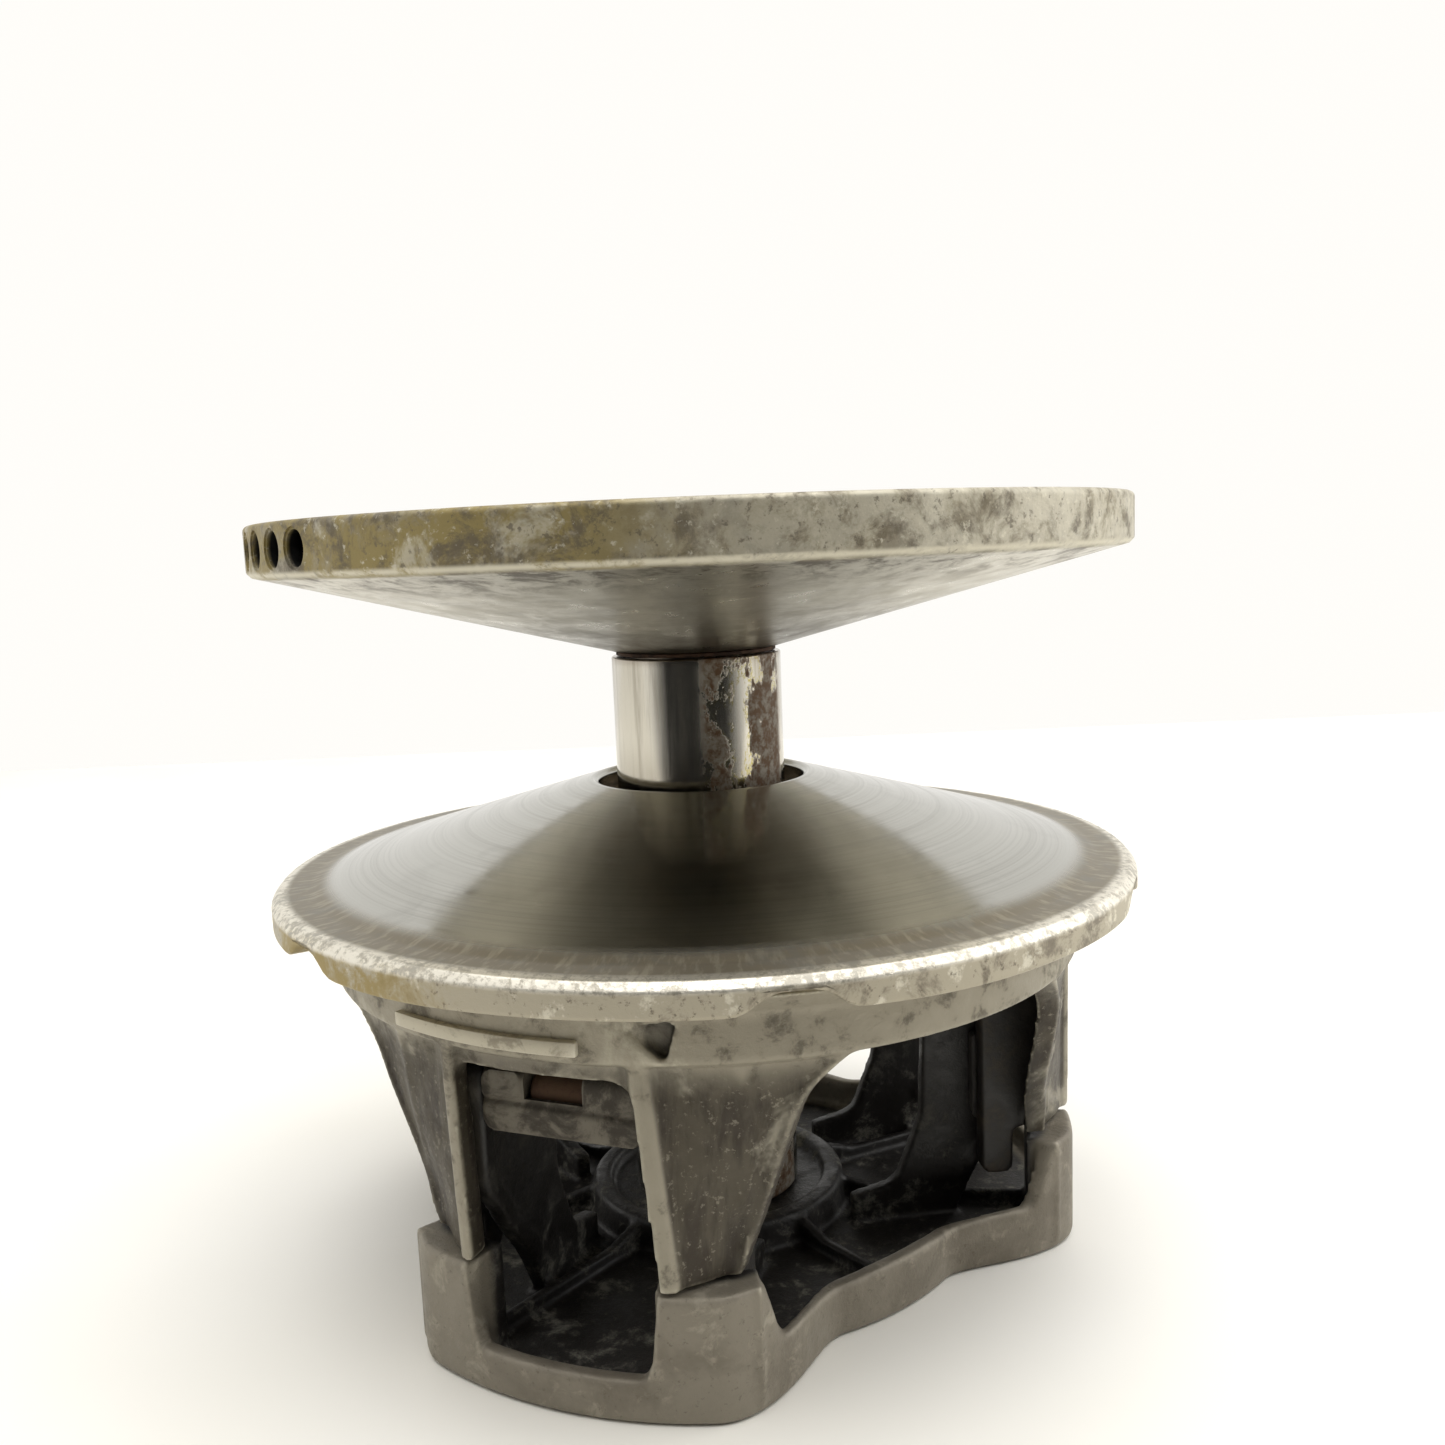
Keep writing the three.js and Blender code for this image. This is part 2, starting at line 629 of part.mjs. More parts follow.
function leverNut() {
  const reach = EAR_V + EAR_T / 2;
  const nut = crossPin(LEVER_HEX_R, PIVOT_U, PIVOT_Z, reach + GAP, reach + 2.6, 6);
  return cut(nut, crossPin(LEVER_BOLT_R + GAP, PIVOT_U, PIVOT_Z, reach - 1, reach + 4));
}

function roller() {
  const half = ROLLER_W / 2;
  const wheel = crossPin(ROLLER_R, ROLLER_U, ROLLER_Z, -half, half, 32);
  return cut(wheel, crossPin(ROLLER_PIN_R + RUN, ROLLER_U, ROLLER_Z, -half - 1, half + 1));
}

function rollerPin() {
  const half = ARM_INNER + ARM_T;
  return crossPin(ROLLER_PIN_R, ROLLER_U, ROLLER_Z, -half - 0.4, half + 0.4);
}

// Ramp carried by the sliding sheave: a block whose lower edge is cleared by the roller's path past it.
function ramp() {
  const outline = roundedOutline([
    [43, 56.5, 1],
    [60, 56.5, 2],
    [59, RAMP_TOP, 2],
    [46, RAMP_TOP, 2],
    [43, 70, 4],
  ]);
  const steps = 8;
  const path = [];
  for (let i = 0; i <= steps; i++) {
    const share = i / steps;
    const angle = ARM_ANGLE - rad(LEVER_SWING_DEG) * share;
    const u = PIVOT_U + ARM_LENGTH * Math.cos(angle);
    const z = PIVOT_Z + ARM_LENGTH * Math.sin(angle) - TRAVEL * share;
    path.push(crossPin(ROLLER_R + GAP, u, z, -RAMP_HALF - 2, RAMP_HALF + 2, 28));
  }
  const screwHole = crossPin(RAMP_SCREW_R + 0.1, RAMP_SCREW_U, RAMP_SCREW_Z, -RAMP_HALF - 2, RAMP_HALF + 2);
  return cut(uprightPlate(outline, -RAMP_HALF, RAMP_HALF), join(...path), screwHole);
}

function rampScrew() {
  const reach = RAMP_HALF + GAP + CHEEK_T;
  const shank = crossPin(RAMP_SCREW_R, RAMP_SCREW_U, RAMP_SCREW_Z, -reach - 1, reach + 0.5);
  const head = crossPin(3.4, RAMP_SCREW_U, RAMP_SCREW_Z, -reach - 3, -reach - GAP, 6);
  return join(shank, head);
}

// Slider shoe on the outer side of one ear, which bears on the tower's side wall.
function sliderShoe(side) {
  const outline = roundedOutline([[60.5, 30, 1.5], [68.5, 30, 1.5], [68.5, 52, 1.5], [60.5, 52, 1.5]]);
  const inner = EAR_V + EAR_T / 2 + GAP;
  const outer = SIDE_WALL_V - SIDE_WALL_T / 2 - GAP;
  return side > 0 ? uprightPlate(outline, inner, outer, 2) : uprightPlate(outline, -outer, -inner, 2);
}

// ---------------------------------------------------------------- clutch bolt
function clutchBolt() {
  const head = hexagon(CLUTCH_BOLT_FLATS, 0.6, CLUTCH_BOLT_SEAT_Z);
  const shank = cylinder(BOLT_R, CLUTCH_BOLT_SEAT_Z - 0.5, CLUTCH_BOLT_TOP - 2, SMALL_ROUND);
  const tip = cylinder(BOLT_R, CLUTCH_BOLT_TOP - 2, CLUTCH_BOLT_TOP, SMALL_ROUND, 0, 0, BOLT_R - 1.4);
  return join(head, shank, tip);
}

function boltWasher() {
  return ring(BOLT_R + GAP, 14.0, CLUTCH_BOLT_SEAT_Z + GAP, 5.1, 24);
}

// ---------------------------------------------------------------- the whole clutch
function build() {
  const clutch = new THREE.Group();

  const shaft = new THREE.Group();
  shaft.add(named("fixed_sheave", fixedSheave(), "cast"));
  shaft.add(named("post", post(), "steel"));
  shaft.add(named("hub_spacer", hubSpacer(), "rusty"));
  shaft.add(named("guide_collar", guideCollar(), "bronze"));
  shaft.add(named("governor_cup", governorCup(), "cup"));
  shaft.add(named("clutch_bolt", clutchBolt(), "zinc"));
  shaft.add(named("bolt_washer", boltWasher(), "zinc"));
  for (let i = 0; i < BACK_RIBS; i++) {
    const rib = named("back_rib_" + (i + 1), backRib(), "cast");
    rib.rotation.z = rad(30 + (360 / BACK_RIBS) * i);
    shaft.add(rib);
  }
  clutch.add(shaft);

  const moving = new THREE.Group();
  moving.add(named("sliding_sheave", slidingSheave(), "cast"));
  moving.add(named("spring_cover", springCover(), "cup"));
  for (let i = 0; i < COVER_SCREWS; i++) {
    const screw = named("cover_screw_" + (i + 1), coverScrew(), "zinc");
    screw.position.set(COVER_SCREW_R * Math.cos(rad(60 * i)), COVER_SCREW_R * Math.sin(rad(60 * i)), 0);
    moving.add(screw);
  }
  clutch.add(moving);
  clutch.add(named("main_spring", mainSpring(), "spring"));

  LOBE_ANGLES.forEach((angle, index) => {
    const lobe = new THREE.Group();
    const number = index + 1;
    lobe.rotation.z = rad(angle);
    lobe.add(named("tower_" + number, tower(), "cast"));
    lobe.add(named("ramp_clevis_" + number, rampClevis(), "cast"));
    lobe.add(named("lever_" + number, lever(), "cup"));
    lobe.add(named("lever_bush_" + number, leverBush(), "rusty"));
    lobe.add(named("lever_bolt_" + number, leverBolt(), "zinc"));
    lobe.add(named("lever_nut_" + number, leverNut(), "zinc"));
    lobe.add(named("roller_" + number, roller(), "steel"));
    lobe.add(named("roller_pin_" + number, rollerPin(), "steel"));
    lobe.add(named("ramp_" + number, ramp(), "steel"));
    lobe.add(named("ramp_screw_" + number, rampScrew(), "zinc"));
    lobe.add(named("slider_shoe_" + number + "_left", sliderShoe(-1), "polymer"));
    lobe.add(named("slider_shoe_" + number + "_right", sliderShoe(1), "polymer"));
    clutch.add(lobe);
  });
  return clutch;
}

export default build();
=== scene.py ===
"""Visual model of a roller-and-lever drive clutch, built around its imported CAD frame.

The fixed sheave, post and governor cup form the shaft. The sliding sheave rides on the post, and its three
towers reach down to the cup, where three levers push rollers along ramps. Sizes are in millimetres and become
metres as each mesh is made. Lobe coordinates are u outwards, v across and z up.
"""

import logging
import math
from dataclasses import dataclass
from enum import Enum
from typing import Callable, Optional, Sequence

import bmesh
import bpy
import numpy as np
from mathutils import Matrix, Vector


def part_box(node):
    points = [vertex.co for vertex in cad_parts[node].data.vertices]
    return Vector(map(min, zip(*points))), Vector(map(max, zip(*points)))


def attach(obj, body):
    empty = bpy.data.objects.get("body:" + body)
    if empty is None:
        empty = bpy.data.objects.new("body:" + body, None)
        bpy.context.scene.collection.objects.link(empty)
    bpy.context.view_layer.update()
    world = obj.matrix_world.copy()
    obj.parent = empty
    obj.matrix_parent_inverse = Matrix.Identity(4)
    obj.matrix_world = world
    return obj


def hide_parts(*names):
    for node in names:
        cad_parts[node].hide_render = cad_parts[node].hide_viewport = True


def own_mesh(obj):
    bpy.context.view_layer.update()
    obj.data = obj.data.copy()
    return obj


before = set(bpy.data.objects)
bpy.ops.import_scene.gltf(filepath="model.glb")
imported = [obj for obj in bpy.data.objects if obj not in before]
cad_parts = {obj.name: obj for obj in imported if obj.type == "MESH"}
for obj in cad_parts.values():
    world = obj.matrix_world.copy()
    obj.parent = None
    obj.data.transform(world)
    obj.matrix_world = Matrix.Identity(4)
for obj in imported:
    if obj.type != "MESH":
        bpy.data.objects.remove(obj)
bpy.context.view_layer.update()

log = logging.getLogger("clutch")
MM = 0.001
LOBES = (-90.0, 30.0, 150.0)
SIDES = (-1, 1)

# Sizes that several sub-assemblies share, in millimetres.
POST_R = 21.0
SLIDING_BORE_R = 25.7
FLANGE_R = 36.0
ENGINE_END = 181.2
PIVOT_U = 74.5
PIVOT_Z = 62.0
TRAVEL = 30.0

Point = tuple[float, float]
Place = tuple[float, float, float]
Colour = tuple[float, float, float]
Solid = bpy.types.Object
Socket = bpy.types.NodeSocket
Material = bpy.types.Material


# ---------------------------------------------------------------- outlines
def rounded(corners: Sequence[Sequence[float]], steps: int = 5) -> list[Point]:
    """Rounds the corners of a closed outline with tangent arcs.

    Args:
        corners: Points (x, y) or (x, y, radius), in order round the outline.
        steps: Straight pieces in each arc.

    Returns:
        The outline's points.
    """
    points: list[Point] = []
    for i, corner in enumerate(corners):
        here = np.array(corner[:2], float)
        radius = corner[2] if len(corner) > 2 else 0.0
        if radius <= 0:
            points.append((here[0], here[1]))
            continue
        before = np.array(corners[i - 1][:2], float) - here
        after = np.array(corners[(i + 1) % len(corners)][:2], float) - here
        reach = 0.48 * min(np.linalg.norm(before), np.linalg.norm(after))
        before /= np.linalg.norm(before)
        after /= np.linalg.norm(after)
        half = math.acos(max(-1.0, min(1.0, float(before @ after)))) / 2
        if half > math.radians(89):
            points.append((here[0], here[1]))
            continue
        tangent = min(radius / math.tan(half), reach)
        middle = before + after
        middle /= np.linalg.norm(middle)
        centre = here + middle * tangent / math.cos(half)
        start, end = here + before * tangent - centre, here + after * tangent - centre
        turn = math.atan2(start[0] * end[1] - start[1] * end[0], float(start @ end))
        for k in range(steps + 1):
            a = turn * k / steps
            c, s = math.cos(a), math.sin(a)
            x, y = centre[0] + c * start[0] - s * start[1], centre[1] + s * start[0] + c * start[1]
            points.append((x, y))
    return points


def spaced(points: Sequence[Point], margin: float = 0.4, step: float = 8.0) -> list[Point]:
    """Adds points along an outline's long sides, close to each end and evenly between.

    Args:
        points: A closed outline.
        margin: Distance of the first and last added point from a side's ends.
        step: Longest stretch left without a point.

    Returns:
        The outline with the added points.
    """
    filled: list[Point] = []
    for i, (x, y) in enumerate(points):
        nx, ny = points[(i + 1) % len(points)]
        length = math.hypot(nx - x, ny - y)
        filled.append((x, y))
        if length > 4 * margin:
            count = max(1, math.ceil((length - 2 * margin) / step))
            for k in range(count + 1):
                t = (margin + (length - 2 * margin) * k / count) / length
                filled.append((x + (nx - x) * t, y + (ny - y) * t))
    return filled


def hexagon(corner: float) -> list[Point]:
    """Returns a hexagon about the origin with its corners at a radius."""
    return [(corner * math.cos(k * math.pi / 3), corner * math.sin(k * math.pi / 3)) for k in range(6)]


def smoothstep(x: float, low: float, high: float) -> float:
    """Returns 0 below low, 1 above high, and a smooth rise between."""
    t = max(0.0, min(1.0, (x - low) / (high - low)))
    return t * t * (3 - 2 * t)


# ---------------------------------------------------------------- meshes
def mesh_object(name: str, vertices: Sequence[Sequence[float]], faces: Sequence[Sequence[int]]) -> Solid:
    """Makes an object from millimetre vertices, with doubles merged and its faces pointing out.

    Args:
        name: The object's name.
        vertices: Points in millimetres.
        faces: Vertex numbers of each face.

    Returns:
        The new object, linked to the scene.
    """
    mesh = bpy.data.meshes.new(name)
    mesh.from_pydata([(x * MM, y * MM, z * MM) for x, y, z in vertices], [], faces)
    work = bmesh.new()
    work.from_mesh(mesh)
    bmesh.ops.remove_doubles(work, verts=work.verts, dist=1e-7)
    bmesh.ops.recalc_face_normals(work, faces=work.faces)
    work.to_mesh(mesh)
    work.free()
    made = bpy.data.objects.new(name, mesh)
    bpy.context.scene.collection.objects.link(made)
    return made


Warp = Callable[[float, float, float], Point]


def lathe(name: str, profile: Sequence[Point], segments: int = 192, warp: Optional[Warp] = None) -> Solid:
    """Turns a closed (radius, height) profile about the shaft axis.

    Args:
        name: The object's name.
        profile: Closed outline in the (radius, height) plane.
        segments: Steps round the axis.
        warp: Moves a profile point by its angle in degrees: (radius, height, angle) to (radius, height).

    Returns:
        The turned solid.
    """
    vertices = []
    for k in range(segments):
        angle = 2 * math.pi * k / segments
        degrees = math.degrees(angle)
        c, s = math.cos(angle), math.sin(angle)
        for r, z in profile:
            wr, wz = warp(r, z, degrees) if warp else (r, z)
            vertices.append((wr * c, wr * s, wz))
    n = len(profile)
    faces = []
    for k in range(segments):
        m = (k + 1) % segments
        for i in range(n):
            j = (i + 1) % n
            faces.append((k * n + i, m * n + i, m * n + j, k * n + j))
    return mesh_object(name, vertices, faces)


class Draw(Enum):
    """The direction an outline is drawn out in, in lobe coordinates."""

    UP = "outline in (u, v), drawn up z"
    ACROSS = "outline in (u, z), drawn across v"
    OUT = "outline in (v, z), drawn out along u"


def prism(name: str, outline: Sequence[Point], low: float, high: float, draw: Draw) -> Solid:
    """Draws a flat outline out between two planes.

    Args:
        name: The object's name.
        outline: Closed outline.
        low: Where the solid starts along its direction.
        high: Where the solid ends.
        draw: The direction.

    Returns:
        The solid, on the lobe whose centre line is +X.
    """
    order: dict[Draw, Callable[[float, float, float], Place]] = {
        Draw.UP: lambda a, b, t: (a, b, t),
        Draw.ACROSS: lambda a, b, t: (a, t, b),
        Draw.OUT: lambda a, b, t: (t, a, b),
    }
    place = order[draw]
    n = len(outline)
    vertices = [place(a, b, t) for t in (low, high) for a, b in outline]
    faces: list[Sequence[int]] = [tuple(range(n)), tuple(range(2 * n - 1, n - 1, -1))]
    faces += [(i, (i + 1) % n, n + (i + 1) % n, n + i) for i in range(n)]
    return mesh_object(name, vertices, faces)


def block(name: str, low: Sequence[float], high: Sequence[float]) -> Solid:
    """Makes an upright block between two corners."""
    outline = [(low[0], low[1]), (high[0], low[1]), (high[0], high[1]), (low[0], high[1])]
    return prism(name, outline, low[2], high[2], Draw.UP)


def sector(name: str, inner: float, outer: float, a0: float, a1: float, z0: float, z1: float) -> Solid:
    """Makes a sector of an upright ring between two angles in degrees from +X.

    Args:
        name: The object's name.
        inner: Inner radius.
        outer: Outer radius.
        a0: The lower angle.
        a1: The higher angle.
        z0: Height of its underside.
        z1: Height of its top.

    Returns:
        The sector.
    """
    steps = max(4, int(abs(a1 - a0) / 1.5))
    angles = [math.radians(a0 + (a1 - a0) * k / steps) for k in range(steps + 1)]
    outline = [(outer * math.cos(a), outer * math.sin(a)) for a in angles]
    outline += [(inner * math.cos(a), inner * math.sin(a)) for a in reversed(angles)]
    return prism(name, outline, z0, z1, Draw.UP)


def cross_pin(name: str, radius: float, u: float, z: float, v0: float, v1: float, sides: int = 32,
              edge: float = 0.0) -> Solid:
    """Makes a round or many-sided pin lying across a lobe, with optional chamfered ends.

    Args:
        name: The object's name.
        radius: Corner radius.
        u: Axis distance from the shaft.
        z: Axis height.
        v0: One end.
        v1: The other end.
        sides: Sides of its section.
        edge: Chamfer at both ends.

    Returns:
        The pin.
    """
    sections = [(v0, radius - edge), (v0 + edge, radius), (v1 - edge, radius), (v1, radius - edge)]
    if edge <= 0:
        sections = [(v0, radius), (v1, radius)]
    vertices = []
    for v, r in sections:
        for k in range(sides):
            a = 2 * math.pi * k / sides
            vertices.append((u + r * math.cos(a), v, z + r * math.sin(a)))
    faces: list[Sequence[int]] = [tuple(range(sides))]
    last = (len(sections) - 1) * sides
    faces.append(tuple(range(last + sides - 1, last - 1, -1)))
    for s in range(len(sections) - 1):
        for k in range(sides):
            m = (k + 1) % sides
            faces.append((s * sides + k, s * sides + m, (s + 1) * sides + m, (s + 1) * sides + k))
    return mesh_object(name, vertices, faces)


def bake(thing: Solid) -> Solid:
    """Turns an object's modifiers into a plain mesh.

    Args:
        thing: The object, with its modifiers live.

    Returns:
        The same object, without modifiers.
    """
    seen = thing.evaluated_get(bpy.context.evaluated_depsgraph_get())
    mesh = bpy.data.meshes.new_from_object(seen)
    thing.modifiers.clear()
    thing.data = mesh
    return thing


def carve(thing: Solid, tools: Sequence[Solid], operation: str = "DIFFERENCE") -> Solid:
    """Cuts, joins or meets a closed solid with others, which are used up.

    Args:
        thing: The solid to change.
        tools: The other closed solids.
        operation: DIFFERENCE, UNION or INTERSECT.

    Returns:
        The changed solid.
    """
    for tool in tools:
        modifier = thing.modifiers.new("carve", "BOOLEAN")
        modifier.operation = operation
        modifier.solver = "MANIFOLD"
        modifier.object = tool
    bake(thing)
    for tool in tools:
        bpy.data.objects.remove(tool)
    return thing


def copies(thing: Solid, angles: Sequence[float] = LOBES) -> list[Solid]:
    """Replaces a solid made on +X by copies turned about the shaft axis to each angle in degrees.

    Args:
        thing: The solid, which is used up.
        angles: Angles from +X, in degrees.

    Returns:
        The copies, in the order of the angles.
    """
    turned = []
    for angle in angles:
        twin = thing.copy()
        twin.data = thing.data.copy()
        twin.data.transform(Matrix.Rotation(math.radians(angle), 4, "Z"))
        bpy.context.scene.collection.objects.link(twin)
        turned.append(twin)
    bpy.data.objects.remove(thing)
    return turned


def joined(name: str, parts: Sequence[Solid]) -> Solid:
    """Puts several solids into one mesh, without uniting them, and removes them.

    Args:
        name: The object's name.
        parts: The solids, which are used up.

    Returns:
        The object that holds them all.
    """
    work = bmesh.new()
    for part in parts:
        work.from_mesh(part.data)
    mesh = bpy.data.meshes.new(name)
    work.to_mesh(mesh)
    work.free()
    for part in parts:
        bpy.data.objects.remove(part)
    made = bpy.data.objects.new(name, mesh)
    bpy.context.scene.collection.objects.link(made)
    return made


def cast(thing: Solid, voxel: float, smoothing: int, keep: float) -> Solid:
    """Melts overlapping solids into one skin with the soft edges of a casting.

    Args:
        thing: The overlapping solids in one mesh.
        voxel: Grain of the new skin, in millimetres.
        smoothing: Rounds of smoothing, which set how soft the edges are.
        keep: Share of the triangles to keep.

    Returns:
        The casting.
    """
    remesh = thing.modifiers.new("skin", "REMESH")
    remesh.mode = "VOXEL"
    remesh.voxel_size = voxel * MM
    remesh.use_smooth_shade = True
    soften = thing.modifiers.new("soften", "SMOOTH")
    soften.factor = 0.5
    soften.iterations = smoothing
    thin = thing.modifiers.new("thin", "DECIMATE")
    thin.ratio = keep
    return bake(thing)


def smooth(thing: Solid, angle: float = 32.0) -> Solid:
    """Shades a mesh smooth except across edges sharper than an angle in degrees.

    Args:
        thing: The object.
        angle: Edges that turn more than this stay sharp.

    Returns:
        The same object.
    """
    thing.data.shade_smooth()
    thing.data.set_sharp_from_angle(angle=math.radians(angle))
    return thing


def bevelled(thing: Solid, width: float, angle: float = 30.0) -> Solid:
    """Rounds a small solid's sharp edges by a width in millimetres.

    Args:
        thing: The solid.
        width: Width of the rounding.
        angle: Edges that turn less than this, in degrees, are left.

    Returns:
        The same object, baked.
    """
    bevel = thing.modifiers.new("edges", "BEVEL")
    bevel.width = width * MM
    bevel.segments = 2
    bevel.angle_limit = math.radians(angle)
    return bake(thing)


# ---------------------------------------------------------------- geometry node trees
class Tree:
    """A geometry node group with short calls for adding nodes and named inputs."""

    def __init__(self, name: str, inputs: Sequence[tuple[str, str]]) -> None:
        """Starts the group.

        Args:
            name: The group's name.
            inputs: Name and socket type of each input after the geometry.
        """
        self.group = bpy.data.node_groups.new(name, "GeometryNodeTree")
        face = self.group.interface
        face.new_socket("Geometry", in_out="OUTPUT", socket_type="NodeSocketGeometry")
        face.new_socket("Geometry", in_out="INPUT", socket_type="NodeSocketGeometry")
        for label, kind in inputs:
            face.new_socket(label, in_out="INPUT", socket_type=kind)
        self.given = self.group.nodes.new("NodeGroupInput")
        self.result = self.group.nodes.new("NodeGroupOutput")

    def node(self, kind: str, values: Optional[dict] = None, **settings: object) -> bpy.types.Node:
        """Adds a node.

        Args:
            kind: The node's type.
            values: Input name or number to a socket or a constant.
            **settings: The node's own properties.

        Returns:
            The node.
        """
        made = self.group.nodes.new(kind)
        for key, value in settings.items():
            setattr(made, key, value)
        for key, value in (values or {}).items():
            if isinstance(value, Socket):
                self.group.links.new(value, made.inputs[key])
            else:
                made.inputs[key].default_value = value
        return made

    def math(self, operation: str, a: object, b: object = 0.0) -> Socket:
        """Adds a math node and returns its output."""
        return self.node("ShaderNodeMath", {0: a, 1: b}, operation=operation).outputs[0]

    def close(self, geometry: Socket) -> bpy.types.NodeTree:
        """Realizes the instances, sets the material and ends the group.

        Args:
            geometry: The last geometry socket.

        Returns:
            The finished group.
        """
        real = self.node("GeometryNodeRealizeInstances", {0: geometry})
        dressed = self.node("GeometryNodeSetMaterial", {"Geometry": real.outputs[0],
                                                         "Material": self.given.outputs["Material"]})
        self.group.links.new(dressed.outputs[0], self.result.inputs[0])
        return self.group


def around_shaft_tree() -> bpy.types.NodeTree:
    """Builds the tree that repeats one piece evenly round the shaft axis.

    Returns:
        The node tree.
    """
    tree = Tree("Around Shaft", [("Count", "NodeSocketInt"), ("First Angle", "NodeSocketFloat"),
                                 ("Material", "NodeSocketMaterial")])
    count, first = tree.given.outputs["Count"], tree.given.outputs["First Angle"]
    points = tree.node("GeometryNodePoints", {"Count": count})
    index = tree.node("GeometryNodeInputIndex").outputs[0]
    step = tree.math("DIVIDE", 2 * math.pi, count)
    angle = tree.math("ADD", tree.math("MULTIPLY", index, step), first)
    turn = tree.node("ShaderNodeCombineXYZ", {"Z": angle})
    placed = tree.node("GeometryNodeInstanceOnPoints", {"Points": points.outputs[0],
                                                        "Instance": tree.given.outputs["Geometry"],
                                                        "Rotation": turn.outputs[0]})
    return tree.close(placed.outputs[0])


def coil_tree() -> bpy.types.NodeTree:
    """Builds the tree that winds a round wire into a coil between two heights.

    Returns:
        The node tree.
    """
    tree = Tree("Coil", [("Radius", "NodeSocketFloat"), ("Wire Radius", "NodeSocketFloat"),
                         ("Turns", "NodeSocketFloat"), ("Bottom", "NodeSocketFloat"),
                         ("Height", "NodeSocketFloat"), ("Material", "NodeSocketMaterial")])
    given = tree.given.outputs
    path = tree.node("GeometryNodeCurveSpiral", {"Resolution": 48, "Rotations": given["Turns"],
                                                 "Start Radius": given["Radius"],
                                                 "End Radius": given["Radius"], "Height": given["Height"]})
    lift = tree.node("ShaderNodeCombineXYZ", {"Z": given["Bottom"]})
    moved = tree.node("GeometryNodeTransform", {"Geometry": path.outputs[0],
                                                "Translation": lift.outputs[0]})
    section = tree.node("GeometryNodeCurvePrimitiveCircle", {"Resolution": 16,
                                                             "Radius": given["Wire Radius"]})
    wire = tree.node("GeometryNodeCurveToMesh", {"Curve": moved.outputs[0],
                                                 "Profile Curve": section.outputs[0], "Fill Caps": True})
    return tree.close(wire.outputs[0])


def grown(thing: Solid, group: bpy.types.NodeTree, values: dict[str, object]) -> Solid:
    """Runs a geometry node tree on an object and keeps the result as its plain mesh.

    Args:
        thing: The object, whose mesh is the tree's geometry.
        group: The node tree.
        values: Input name to value.

    Returns:
        The object.
    """
    modifier = thing.modifiers.new(group.name, "NODES")
    modifier.node_group = group
    sockets = {item.name: item.identifier for item in group.interface.items_tree if item.in_out == "INPUT"}
    for label, value in values.items():
        modifier[sockets[label]] = value
    return bake(thing)


